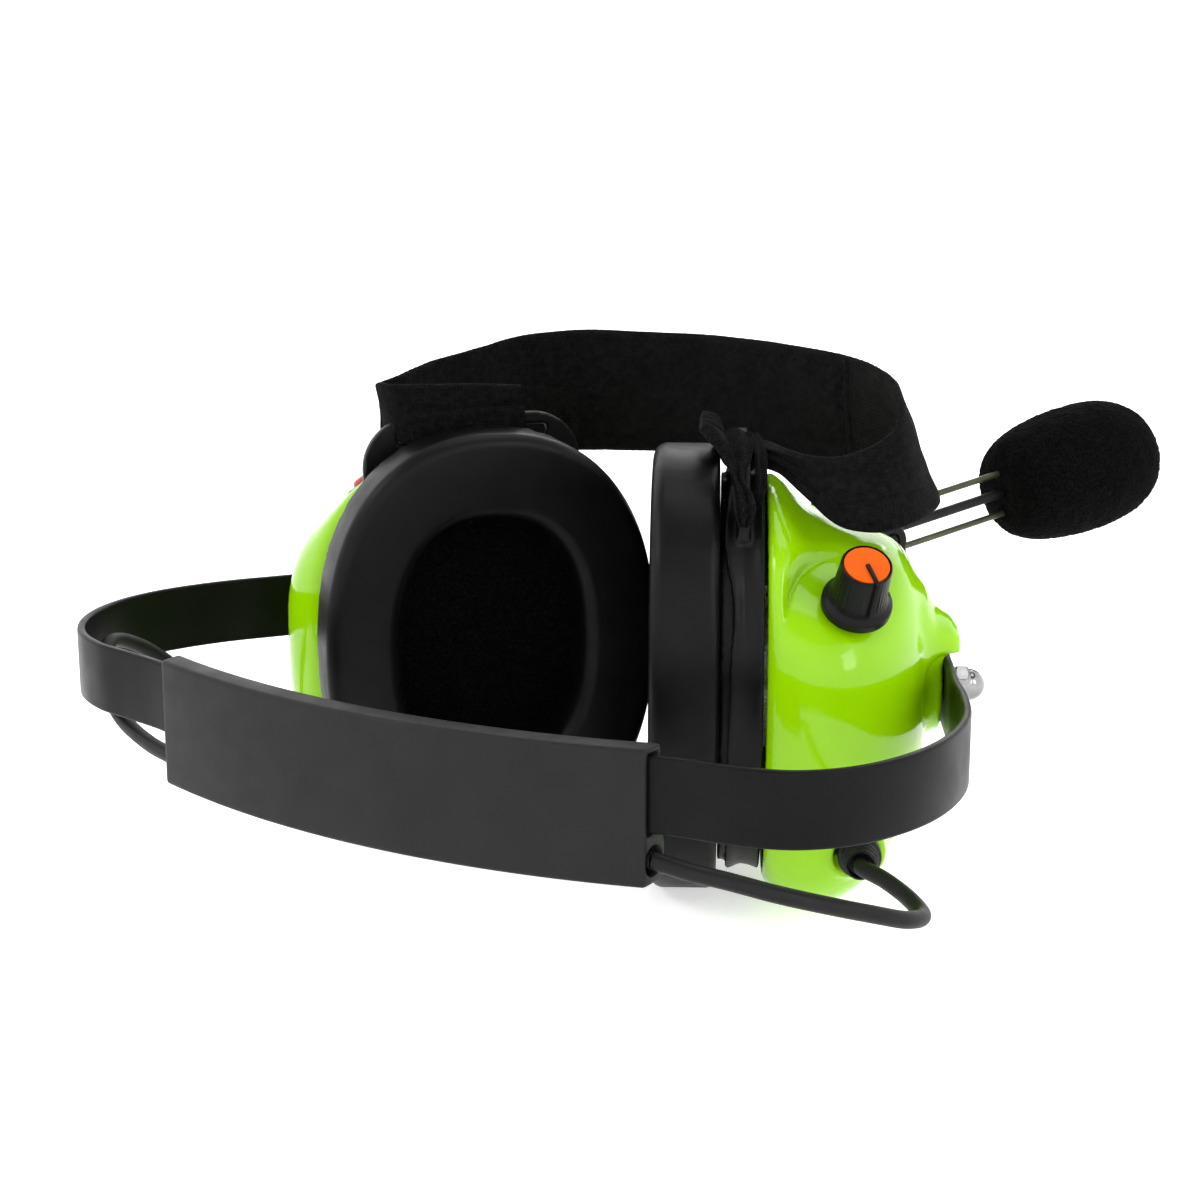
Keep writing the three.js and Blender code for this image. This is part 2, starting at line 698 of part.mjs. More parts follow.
function cablePieces(cup, points) {
  const route = cableRoute(cup, points);
  const split = 0.5;
  const seam = GAP / 2 / route.getLength();
  return [
    [`${cup.name}_cable_lower`, tube(new Stretch(route, 0, split - seam), 8), MATERIALS.rubber],
    [`${cup.name}_cable_upper`, tube(new Stretch(route, split + seam, 1), 8), MATERIALS.rubber],
  ];
}

// A thin band between two edge curves, from one share of their length to another
function band(top, low, from, to, steps, thick = STRAP.thick) {
  const rings = [];
  for (let i = 0; i <= steps; i += 1) {
    const t = THREE.MathUtils.lerp(from, to, i / steps);
    const a = top.getPoint(t);
    const b = low.getPoint(t);
    const along = top.getTangent(t).add(low.getTangent(t)).normalize();
    const normal = along.cross(a.clone().sub(b)).setLength(thick / 2);
    rings.push([
      a.clone().add(normal), b.clone().add(normal), b.clone().sub(normal), a.clone().sub(normal),
    ]);
  }
  return skin(rings);
}

function strapTabEdges() {
  const place = (row) => inWorld(LEFT, row).toArray();
  const top = [[18.3, -17, 63], [18.3, 0, 64], [18.6, 16, 65], [21, 22, 65.5], [26, 24, 65.5], [31, 21.5, 65]];
  const low = [[18.3, -16, 51], [18.3, 0, 51.5], [18.4, 14, 52.5], [20.5, 22, 58.6], [25.5, 24, 58.4], [31, 21.5, 52]];
  return [smooth(top.map(place)), smooth(low.map(place))];
}

function strapPieces() {
  const top = smooth(STRAP_TOP);
  const low = smooth(STRAP_LOW);
  const last = STRAP_TOP.length - 1;
  const at = (knot, shift = 0) => (knot + shift) / last;
  const seam = 0.012;
  return [
    ['strap_left_tab', band(...strapTabEdges(), 0, 1, 12, 2), MATERIALS.webbing],
    ['strap_left', band(top, low, at(0), at(4, -seam), 14), MATERIALS.webbing],
    ['strap_pad', band(top, low, at(4, seam), at(9, -seam), 16), MATERIALS.webbing],
    ['strap_right', band(top, low, at(9, seam), at(13, -seam), 14), MATERIALS.webbing],
    ['strap_right_tail', band(top, low, at(13, seam), 1, 16), MATERIALS.webbing],
  ];
}

// Assembly

function mesh([name, geometry, look]) {
  const piece = new THREE.Mesh(facingOut(geometry), look);
  piece.name = name;
  return piece;
}

function cupGroup(cup, pieces) {
  const group = new THREE.Group();
  group.position.set(cup.x, cup.y, CUP_HEIGHT);
  group.rotation.z = cup.yaw;
  group.add(...pieces.map(mesh));
  return group;
}

function rightCup() {
  const pads = [onKnob(rod(KNOB.pad, -8, 1.5, 24)), boomPad()];
  const bores = [onKnob(rod(3.8, -20, 10)), onKnob(rod(KNOB.pad, 1.5, 12, 24))];
  return cupGroup(RIGHT, [
    ...commonPieces(RIGHT, pads, bores),
    ...knobPieces(),
    ['circuit_board', circuitBoard(), MATERIALS.board],
    ...boomPieces(),
  ]);
}

function leftCup() {
  const pads = [onTalk(rod(TALK.pad, -5, 1.5)), aimed(rod(7.5, 10, SOCKET.face), socketAxis(), socketAt())];
  const bores = [
    onTalk(rod(5.3, -20, 10)),
    onTalk(rod(TALK.pad + 0.4, 1.5, 12)),
    aimed(rod(4.5, 0, 50), socketAxis(), socketAt()),
  ];
  return cupGroup(LEFT, [
    ...commonPieces(LEFT, pads, bores),
    ...talkPieces(),
    ['radio_socket', radioSocket(), MATERIALS.blackPlastic],
  ]);
}

function neckband() {
  const group = new THREE.Group();
  const centreLength = FLEX_X - 2.2 - 0.6;
  const cableArc = new SleeveArc(SLEEVE.halfLength - 0.8, CABLE.inset, CABLE.level);
  const pieces = [
    ['neckband_sleeve', sleeve(), MATERIALS.rubber],
    ['strip_centre', strip(new SleeveArc(centreLength, 0, 0), 20), MATERIALS.rubber],
    ['right_strip_arm', arm(RIGHT, ARM_RIGHT), MATERIALS.rubber],
    ['left_strip_arm', arm(LEFT, ARM_LEFT), MATERIALS.rubber],
    ['sleeve_cable', tube(cableArc, 12), MATERIALS.rubber],
    ...cablePieces(RIGHT, CABLE_RIGHT),
    ...cablePieces(LEFT, CABLE_LEFT),
    ...strapPieces(),
  ];
  group.add(...pieces.map(mesh));
  return group;
}

const headset = new THREE.Group();
headset.add(neckband(), rightCup(), leftCup());

headset.position.set(-MIDDLE.x, -MIDDLE.y, 0);

export default headset;
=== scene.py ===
"""Two-way-radio headset: the looks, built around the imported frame.

Lengths in this file are millimetres until a piece is made, and then metres in the row frame.
A cup's own places are (depth, back, up): depth from the ear outward, back towards the neckband,
and up from the middle of the ear opening.
"""

import json
import math

import bmesh
import bpy
import numpy as np
import openvdb
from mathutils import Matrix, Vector, noise
from mathutils.geometry import tessellate_polygon


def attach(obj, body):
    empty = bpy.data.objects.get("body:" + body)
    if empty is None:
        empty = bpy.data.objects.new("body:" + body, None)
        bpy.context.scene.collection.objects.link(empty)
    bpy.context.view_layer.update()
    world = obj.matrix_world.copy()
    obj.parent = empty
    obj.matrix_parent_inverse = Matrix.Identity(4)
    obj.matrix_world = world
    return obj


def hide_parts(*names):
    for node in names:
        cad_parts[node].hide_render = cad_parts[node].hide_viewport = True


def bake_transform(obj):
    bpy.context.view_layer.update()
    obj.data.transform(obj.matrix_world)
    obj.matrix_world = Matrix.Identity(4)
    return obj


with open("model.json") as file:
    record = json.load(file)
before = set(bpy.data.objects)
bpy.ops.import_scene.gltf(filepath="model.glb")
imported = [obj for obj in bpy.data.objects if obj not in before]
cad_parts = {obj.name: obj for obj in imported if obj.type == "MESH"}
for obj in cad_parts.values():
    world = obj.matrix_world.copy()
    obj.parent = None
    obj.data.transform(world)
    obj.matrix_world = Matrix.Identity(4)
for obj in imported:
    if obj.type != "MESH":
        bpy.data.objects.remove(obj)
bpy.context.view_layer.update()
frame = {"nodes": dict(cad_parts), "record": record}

MM = 0.001
ORIGIN_SHIFT = np.array([3.15, -29.57, 0.0])
CUP_HEIGHT = 55
CUSHION = {"half": 43.5, "height": 55, "depth": 16.5, "hole_half": 24.5, "hole_height": 33.5}
PLATE = {"front": 20, "back": 27, "half": 41, "height": 50, "rim": 5}
COLLAR = {"front": 16.8, "half": 38, "height": 48, "hole_half": 26, "hole_height": 35}
TAB = {"half": 29, "top": 57, "round": 13, "from": 20.6, "thick": 2.8}
SLOT = {"half": 20, "low": 50.6, "high": 53.6}
WALL = 2.5
STUD = {"back": 5, "up": -2.6, "radius": 2.4, "bore": 2.7}
STRIP = {"height": 17.3, "thick": 2, "level": 52.4, "depth": 71}
SLEEVE = {"radius": 210, "half_length": 67, "nose": -90.75, "thick": 6.5, "low": 32, "high": 63}
FLEX_X = 64
CABLE = {"radius": 2, "level": 37.3, "inset": 0.6}
GLAND = {"depth": 50, "up": -34.5, "face": 39, "length": 6.5}
SOCKET = {"depth": 52, "up": -30, "face": 36.5}
KNOB = {"at": (47.7, 33.5, 22.7), "axis": (0.12, 0.58, 0.8), "pad": 10, "skirt": 8.3, "body": 6, "height": 17}
TALK = {"at": (38, 21.2, 34.6), "axis": (0.3, 0.45, 0.84), "pad": 8}
BOOM = {"at": (57.6, -49.7, 22.5), "yaw": math.radians(31), "rise": math.radians(10)}
WIRE = {"radius": 0.85, "spread": 5.7, "from": -8, "to": 43.7}
FORK = {"half": 9.2, "gap": 7.2, "tall": 10, "ear": 4.5, "bore": 2.3}
CLAMP = {"half": 6.5, "tall": 9.5, "trunnion": 1.9}
NUT = {"start": 74.5, "flats": 4.07, "thick": 3.4, "dome": 3.9, "bore_end": 79.4}

# Shell outline along its depth: reach to the back and front, height above and depth below the ear centre
SHELL = [
    (27.3, 41, 40, 49.5, 51), (32, 43.5, 40, 46, 53.5), (38, 45.5, 39.5, 40.5, 55),
    (44, 45.5, 38, 37.5, 54.5), (51, 42.5, 35.2, 35, 51), (57, 37, 31.5, 33.5, 44.5),
    (62, 29.5, 26, 29.5, 36), (65.5, 21, 19, 22.5, 26), (67.5, 11.5, 11, 12.5, 15), (68.2, 4, 4, 4, 6),
]
HOOD = [(56, 7.3), (75, 7.3), (75.2, 9), (74.9, 12.6), (73, 14.8), (68.5, 17.5), (65.5, 21.5), (56, 26)]

# The cords' routes, from the sleeve's mouth to the gland
CABLE_RIGHT = [
    (66.8, -79.2, 37.3), (74, -77.2, 35.6), (82.3, -73.9, 33.9), (91, -68.5, 31), (98.8, -60.6, 27.5),
    (105.4, -51.6, 23.8), (110, -42.5, 20.3), (109.6, -33.8, 18.3), (103.2, -27.2, 18.9),
    (95.3, -22.8, 20.2),
]
CABLE_LEFT = [
    (-66.8, -79.2, 37.3), (-80, -75, 38.2), (-94, -69.5, 41.5), (-106, -62, 48.5), (-112.5, -52, 54),
    (-112.5, -41.5, 50.5), (-108, -32, 42), (-102.5, -23.5, 30), (-97, -18, 19.5),
]

# The neckband strip's arms, seen from above, from inside the sleeve to the cup
ARM_RIGHT = [
    (66, -80.2), (74, -78.6), (85, -77.4), (97, -73.5), (106.5, -64.5), (112.5, -51), (114.5, -36),
    (112, -19), (105.5, -4.5),
]
ARM_LEFT = [
    (-66, -80.2), (-74, -78), (-84, -76), (-96, -73.5), (-108, -67), (-117, -56), (-121.5, -42),
    (-120.5, -26.5), (-113.5, -9.5), (-104, 4.5),
]

# The head strap's two long edges, from the left fold over to the right cup
STRAP_TOP = [
    (-60, -3, 120), (-57.3, 15, 123), (-53, 32, 125.3), (-48, 45, 127.3), (-38, 57, 128.2),
    (-20.7, 62, 128.4), (-2, 62, 128.9), (18.3, 58, 129.2), (34, 52.5, 129.2), (51.2, 44, 129),
    (64, 33, 128.5), (71.5, 25, 127.5), (77, 17, 124.5), (80, 9, 119.5), (77.5, 3, 115.5),
    (70, 0, 112.5), (60, 1.5, 112), (51, 5, 112.5), (44, 9.3, 112.5),
]
STRAP_LOW = [
    (-59, -4, 104), (-57.5, 15, 101.5), (-54, 32, 97.5), (-48.5, 46, 95.3), (-37, 57.3, 94.8),
    (-20.5, 62.3, 95.3), (-1.6, 62.3, 96.5), (19, 58.5, 97.5), (36, 53.5, 98), (54, 45.5, 98.5),
    (70, 37, 98.8), (81.5, 27, 99), (88, 16, 99.5), (88.5, 4, 98.5), (83.5, -5, 97), (75, -7.5, 97.5),
    (64, -3.5, 102), (53, 3, 106), (44.5, 8.5, 106),
]


class Cup:
    """One ear cup's own frame."""

    def __init__(self, name, front, x, y, yaw):
        self.name = name
        self.body = f"{name}_cup"
        self.front = front
        self.middle = np.array([x, y, CUP_HEIGHT], float)
        turn = math.radians(yaw)
        self.axes = np.array(
            [
                [math.cos(turn), math.sin(turn), 0],
                [front * math.sin(turn), -front * math.cos(turn), 0],
                [0, 0, 1],
            ]
        )

    def place(self, points):
        """Places given as (depth, back, up) millimetres, in row-frame millimetres before the origin shift."""
        return np.asarray(points, float) @ self.axes + self.middle

    def mesh(self, points, faces):
        """A mesh given in the cup's own frame, with its points in place."""
        return self.place(points), faces


def in_frame(points):
    """Row-frame metres from row-frame millimetres before the origin shift."""
    return (np.asarray(points, float) + ORIGIN_SHIFT) * MM


RIGHT = Cup("right", 1, 20.2, -0.6, 29)
LEFT = Cup("left", -1, -21.3, -7.8, 140)


# Camera


def make_camera():
    """Stands where the product view was taken from."""
    azimuth, elevation, distance = math.radians(31.66), math.radians(14.09), 597.63
    away = Vector(
        (
            math.sin(azimuth) * math.cos(elevation),
            -math.cos(azimuth) * math.cos(elevation),
            math.sin(elevation),
        )
    )
    aim = Vector(in_frame((0, 7.68, 67.19)))
    camera = bpy.data.objects.new("camera", bpy.data.cameras.new("camera"))
    camera.data.lens = 70.24
    camera.data.sensor_width = 36
    camera.data.clip_start = 0.01
    camera.data.clip_end = 50
    camera.rotation_mode = "QUATERNION"
    camera.location = aim + away * distance * MM
    camera.rotation_quaternion = (-away).to_track_quat("-Z", "Y")
    bpy.context.scene.collection.objects.link(camera)
    bpy.context.scene.camera = camera


# Materials


class Look:
    """A procedural material, built one property at a time. Texture sizes are millimetres."""

    def __init__(self, name, roughness, metallic=0.0, **sockets):
        self.material = bpy.data.materials.new(name)
        self.material.use_nodes = True
        self.tree = self.material.node_tree
        self.shader = self.tree.nodes["Principled BSDF"]
        self.shader.inputs["Roughness"].default_value = roughness
        self.shader.inputs["Metallic"].default_value = metallic
        for socket, value in sockets.items():
            self.shader.inputs[socket.replace("_", " ")].default_value = value
        self.coordinates = self.tree.nodes.new("ShaderNodeTexCoord")
        self.last_bump = None

    def node(self, kind, settings=None, **inputs):
        made = self.tree.nodes.new(kind)
        for name, value in (settings or {}).items():
            setattr(made, name, value)
        for name, value in inputs.items():
            socket = made.inputs[name.replace("_", " ")]
            if isinstance(value, bpy.types.NodeSocket):
                self.tree.links.new(value, socket)
            else:
                socket.default_value = value
        return made

    def grain(self, size, detail=3.0, stretch=None):
        """Noise with features about size millimetres across."""
        place = self.coordinates.outputs["Object"]
        if stretch:
            place = self.node("ShaderNodeMapping", Vector=place, Scale=stretch).outputs["Vector"]
        made = self.node("ShaderNodeTexNoise", Vector=place, Scale=1 / (size * MM), Detail=detail)
        return made.outputs["Fac"]

    def cells(self, size):
        place = self.coordinates.outputs["Object"]
        made = self.node("ShaderNodeTexVoronoi", Vector=place, Scale=1 / (size * MM))
        return made.outputs["Distance"]

    def ribs(self, axis, period, warp):
        """Ridges across the strap's own length (axis X) or width (axis Y), from its UV map in metres."""
        parts = self.node("ShaderNodeSeparateXYZ", Vector=self.coordinates.outputs["UV"])
        phase = self.mixed("MULTIPLY", parts.outputs[axis], 2 * math.pi / (period * MM))
        phase = self.mixed("MULTIPLY_ADD", self.grain(period * 3), warp, phase)
        return self.mixed("SINE", phase)

    def mixed(self, operation, *values):
        """One sum on numbers or sockets."""
        made = self.node("ShaderNodeMath", {"operation": operation})
        for socket, value in zip(made.inputs, values):
            if isinstance(value, bpy.types.NodeSocket):
                self.tree.links.new(value, socket)
            else:
                socket.default_value = value
        return made.outputs[0]

    def spread(self, factor, low, high):
        """Maps the middle of a noise to low..high."""
        made = self.node("ShaderNodeMapRange", Value=factor)
        made.inputs["From Min"].default_value = 0.3
        made.inputs["From Max"].default_value = 0.7
        made.inputs["To Min"].default_value = low
        made.inputs["To Max"].default_value = high
        return made.outputs["Result"]

    def colour(self, factor, low, high):
        ramp = self.node("ShaderNodeValToRGB", Fac=factor)
        ramp.color_ramp.elements[0].position = 0.3
        ramp.color_ramp.elements[0].color = (*low, 1)
        ramp.color_ramp.elements[1].position = 0.7
        ramp.color_ramp.elements[1].color = (*high, 1)
        self.tree.links.new(ramp.outputs["Color"], self.shader.inputs["Base Color"])
        return self

    def roughness(self, factor, low, high):
        self.tree.links.new(self.spread(factor, low, high), self.shader.inputs["Roughness"])
        return self

    def bump(self, height, depth, strength=1.0):
        """Raises the surface by up to depth millimetres."""
        made = self.node("ShaderNodeBump", Height=height, Distance=depth * MM, Strength=strength)
        if self.last_bump:
            self.tree.links.new(self.last_bump, made.inputs["Normal"])
        self.last_bump = made.outputs["Normal"]
        self.tree.links.new(self.last_bump, self.shader.inputs["Normal"])
        return self


def grey(value):
    return (value, value, value)


def varied_look(name, colour, rough, bumps, metallic=0.0, **sockets):
    """A finish whose colour, roughness and height each vary a little, at their own scales.

    colour and rough are (size, low, high), and each bump is (size, depth) or (size, depth, detail).
    """
    look = Look(name, (rough[1] + rough[2]) / 2, metallic, **sockets)
    look.colour(look.grain(colour[0]), *colour[1:])
    look.roughness(look.grain(rough[0]), *rough[1:])
    for size, depth, *detail in bumps:
        look.bump(look.grain(size, *detail), depth)
    return look


def vinyl_look():
    look = Look("black_vinyl", 0.4, Specular_IOR_Level=0.13)
    look.colour(look.grain(16), grey(0.001), grey(0.0025))
    look.roughness(look.grain(7), 0.34, 0.46)
    return look.bump(look.cells(0.5), 0.008).bump(look.grain(2.5, 2), 0.015)


def foam_look():
    look = Look("black_foam", 0.95, Specular_IOR_Level=0.04)
    cells = look.cells(0.7)
    look.colour(cells, grey(0.0005), grey(0.003))
    return look.bump(cells, 0.25).bump(look.grain(0.35), 0.1)


def webbing_look(name, rib=0.9, depth=0.12):
    look = Look(name, 0.95, Specular_IOR_Level=0.04, Sheen_Weight=0.015, Sheen_Roughness=0.5)
    fuzz = look.grain(1.6, 5)
    look.colour(fuzz, grey(0.002), grey(0.006))
    weave = look.mixed("MAXIMUM", look.ribs("X", rib, 1.2), look.ribs("Y", rib, 1.2))
    return look.bump(weave, depth, 0.7).bump(look.grain(0.5, 4), 0.15, 0.8)


def steel_look():
    look = Look("bright_steel", 0.3, 1.0)
    look.colour(look.grain(3), grey(0.42), grey(0.55))
    look.roughness(look.grain(1, stretch=(1, 1, 8)), 0.22, 0.4)
    return look.bump(look.grain(0.4, stretch=(1, 1, 6)), 0.004)


def olive_look():
    look = Look("olive_plastic", 0.42)
    look.colour(look.grain(4), (0.02, 0.022, 0.01), (0.03, 0.034, 0.014))
    return look.bump(look.grain(0.4), 0.006)


def red_look():
    look = Look("red_button", 0.32)
    look.colour(look.grain(4), (0.3, 0.02, 0.008), (0.36, 0.03, 0.012))
    return look.bump(look.grain(0.4), 0.005)


def board_look():
    look = Look("board_laminate", 0.4)
    look.colour(look.cells(2.2), (0.01, 0.09, 0.03), (0.03, 0.16, 0.06))
    return look.bump(look.cells(2.2), 0.05)


def stage_look():
    glow = {"Emission_Color": (1, 1, 1, 1), "Emission_Strength": 0.55}
    look = Look("stage_white", 0.9, Specular_IOR_Level=0.1, **glow)
    look.colour(look.grain(400), grey(0.84), grey(0.86))
    return look


LIME = ((0.225, 0.495, 0.0), (0.25, 0.53, 0.001))
WIRE_METAL = ((0.042, 0.046, 0.026), (0.07, 0.075, 0.042))
ORANGE = ((0.6, 0.08, 0.0), (0.66, 0.095, 0.0))

LOOKS = {
    "lime_shell": varied_look(
        "lime_gloss", (30, *LIME), (9, 0.07, 0.13), [(6, 0.01, 1), (0.5, 0.0008)], Specular_IOR_Level=0.32
    ),
    "black_plastic": varied_look(
        "black_satin_plastic", (12, grey(0.002), grey(0.004)), (4, 0.3, 0.42), [(0.35, 0.005), (6, 0.02, 1)],
        Specular_IOR_Level=0.13,
    ),
    "cushion_vinyl": vinyl_look(),
    "foam": foam_look(),
    "band_rubber": varied_look(
        "black_rubber", (20, grey(0.0075), grey(0.0105)), (6, 0.44, 0.56), [(0.3, 0.004)],
        Specular_IOR_Level=0.17,
    ),
    "cable_rubber": varied_look(
        "black_cable", (10, grey(0.004), grey(0.007)), (3, 0.4, 0.52), [(0.4, 0.006)],
        Specular_IOR_Level=0.18,
    ),
    "webbing": webbing_look("strap_fabric"),
    "pad": webbing_look("strap_pad_fabric", 0.7, 0.06),
    "chrome": varied_look(
        "plated_steel", (4, grey(0.2), grey(0.3)), (1.5, 0.06, 0.16), [(1.2, 0.004)], metallic=1.0
    ),
    "steel": steel_look(),
    "boom_wire": varied_look(
        "drawn_wire", (5, *WIRE_METAL), (1.5, 0.3, 0.45), [(0.3, 0.004)], metallic=0.75
    ),
    "orange_cap": varied_look(
        "orange_cap", (4, *ORANGE), (1.5, 0.36, 0.5), [(0.3, 0.005)], Specular_IOR_Level=0.1
    ),
    "olive_trim": olive_look(),
    "red_button": red_look(),
    "board": board_look(),
    "strip": varied_look(
        "black_strip", (20, grey(0.002), grey(0.004)), (8, 0.3, 0.42), [(0.35, 0.003)],
        Specular_IOR_Level=0.1,
    ),
}


# Mesh making


def finished(name, shape, slot, crease=40, look=None):
    """A piece from (points, faces) in millimetres, with its normals out and its finish on."""
    points, faces = shape
    mesh = bpy.data.meshes.new(name)
    mesh.from_pydata(in_frame(points).tolist(), [], [tuple(int(i) for i in f) for f in faces])
    work = bmesh.new()
    work.from_mesh(mesh)
    bmesh.ops.remove_doubles(work, verts=work.verts, dist=1e-7)
    bmesh.ops.recalc_face_normals(work, faces=work.faces)
    work.to_mesh(mesh)
    work.free()
    mesh.shade_smooth()
    mesh.set_sharp_from_angle(angle=math.radians(crease))
    piece = bpy.data.objects.new(name, mesh)
    bpy.context.scene.collection.objects.link(piece)
    mesh.materials.append(LOOKS[look or slot].material)
    return piece


def stand_in(name, shape, slot, body, node, crease=40, look=None):
    """A finished piece that rides on a body and stands for a CAD node."""
    piece = finished(name, shape, slot, crease, look)
    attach(piece, body)
    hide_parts(node)
    return piece


def angles(count):
    return np.linspace(0, 2 * np.pi, count, endpoint=False)


def spokes(across, up, count):
    """Directions evenly round a circle."""
    turn = angles(count)[:, None]
    return np.cos(turn) * across + np.sin(turn) * up


def lengths(line):
    """How far along a polyline each of its points is."""
    return np.concatenate([[0], np.cumsum(np.linalg.norm(np.diff(line, axis=0), axis=1))])


def corner_curve(start, corner, end, steps):
    """Points from start to end that bend smoothly at the corner."""
    shares = np.linspace(0, 1, steps + 1)
    return [(1 - t) ** 2 * start + 2 * t * (1 - t) * corner + t * t * end for t in shares]


def oval(half, up, down=None, power=2.3, power_down=None, count=64):
    """Rounded oval outline as (across, up); power 2 is an ellipse, more is squarer."""
    angle = angles(count)
    low = np.sin(angle) < 0
    exponent = 2 / np.where(low, power_down or power, power)
    reach = np.where(low, up if down is None else down, up)
    across = np.sign(np.cos(angle)) * np.abs(np.cos(angle)) ** exponent * half
    upward = np.sign(np.sin(angle)) * np.abs(np.sin(angle)) ** exponent * reach
    return np.stack([across, upward], axis=1)


def at_depth(outline, depth):
    """An (across, up) outline as (depth, across, up) points."""
    return np.column_stack([np.broadcast_to(depth, len(outline)), outline])


def ring_faces(rings, count, closed=False):
    """Quads between rings of count points each."""
    pairs = rings if closed else rings - 1
    faces = []
    for r in range(pairs):
        base, following = r * count, ((r + 1) % rings) * count
        for i in range(count):
            j = (i + 1) % count
            faces.append((base + i, base + j, following + j, following + i))
    return faces


def loft(rings, closed=False):
    """Points and faces of a skin through rings, with flat ends unless it closes on itself."""
    count = len(rings[0])
    faces = ring_faces(len(rings), count, closed)
    if not closed:
        faces.append(tuple(range(count)))
        faces.append(tuple((len(rings) - 1) * count + i for i in range(count)))
    return np.concatenate(rings), faces


def holed_loft(sections):
    """A skin through sections of an outer loop and holes, with its ends filled between them."""
    counts = [len(loop) for loop in sections[0]]
    size = sum(counts)
    points = np.concatenate([np.concatenate(section) for section in sections])
    faces = []
    start = 0
    for count in counts:
        for s in range(len(sections) - 1):
            for i in range(count):
                j = (i + 1) % count
                a, b = s * size + start, (s + 1) * size + start
                faces.append((a + i, a + j, b + j, b + i))
        start += count
    for s in (0, len(sections) - 1):
        fill = tessellate_polygon([[Vector(p) for p in loop] for loop in sections[s]])
        faces += [tuple(s * size + i for i in triangle) for triangle in fill]
    return points, faces


def basis(axis):
    """Two directions square to an axis, and the axis, all of length 1."""
    axis = np.asarray(axis, float) / np.linalg.norm(axis)
    helper = np.array([0, 0, 1.0]) if abs(axis[2]) < 0.9 else np.array([1.0, 0, 0])
    across = np.cross(helper, axis)
    across /= np.linalg.norm(across)
    return across, np.cross(axis, across), axis


def turned(profile, at, axis, sides=64, ripple=None, closed=False):
    """A turned solid from (radius, height) pairs; ripple may change the radius round the axis."""
    across, up, along = basis(axis)
    rings = []
    for radius, height in profile:
        reach = np.full(sides, max(radius, 1e-4))
        if ripple:
            reach = reach + ripple(angles(sides), radius, height)
        rings.append(np.asarray(at) + reach[:, None] * spokes(across, up, sides) + height * along)
    return loft(rings, closed)


def eased(profile, radius=0.3, steps=3):
    """The profile with each inner corner rounded."""
    points = [np.array(profile[0], float)]
    for before, corner, after in zip(profile, profile[1:], profile[2:]):
        before, corner, after = (np.array(p, float) for p in (before, corner, after))
        into, out = before - corner, after - corner
        room = min(radius, np.linalg.norm(into) * 0.45, np.linalg.norm(out) * 0.45)
        start = corner + into / np.linalg.norm(into) * room
        end = corner + out / np.linalg.norm(out) * room
        points += corner_curve(start, corner, end, steps)
    points.append(np.array(profile[-1], float))
    return points


def smooth(points, count, share=(0, 1)):
    """count points evenly timed along a centripetal Catmull-Rom curve, over a share of its knots."""
    knots = np.asarray(points, float)
    ends = 2 * knots[[0, -1]] - knots[[1, -2]]
    padded = np.concatenate([ends[:1], knots, ends[1:]])
    out = []
    last = len(knots) - 1
    for t in np.linspace(share[0] * last, share[1] * last, count):
        k = min(int(t), last - 1)
        x0, x1, x2, x3 = padded[k : k + 4]
        d0, d1, d2 = (max(np.linalg.norm(b - a) ** 0.5, 1e-6) for a, b in ((x0, x1), (x1, x2), (x2, x3)))
        m1 = ((x1 - x0) / d0 - (x2 - x0) / (d0 + d1) + (x2 - x1) / d1) * d1
        m2 = ((x2 - x1) / d1 - (x3 - x1) / (d1 + d2) + (x3 - x2) / d2) * d1
        s = t - k
        out.append(
            x1 + m1 * s + (3 * (x2 - x1) - 2 * m1 - m2) * s**2 + (2 * (x1 - x2) + m1 + m2) * s**3
        )
    return np.array(out)


def evenly(line, count, share=(0, 1)):
    """count points evenly spaced by length along a share of a fine polyline."""
    along = lengths(line)
    at = np.linspace(share[0] * along[-1], share[1] * along[-1], count)
    return np.stack([np.interp(at, along, line[:, k]) for k in range(line.shape[1])], axis=1)


def headings(line):
    """The direction of a polyline at each of its points."""
    step = np.gradient(line, axis=0)
    return step / np.linalg.norm(step, axis=1)[:, None]


# Solids from distances, for moulded shapes that blend into each other


def box_distance(places, low, high, round_by=0.0):
    """The distance to a box with rounded edges, negative inside."""
    half = np.subtract(high, low) / 2 - round_by
    out = np.abs(places - np.add(low, high) / 2) - half
    return np.linalg.norm(np.maximum(out, 0), axis=-1) + np.minimum(out.max(axis=-1), 0) - round_by


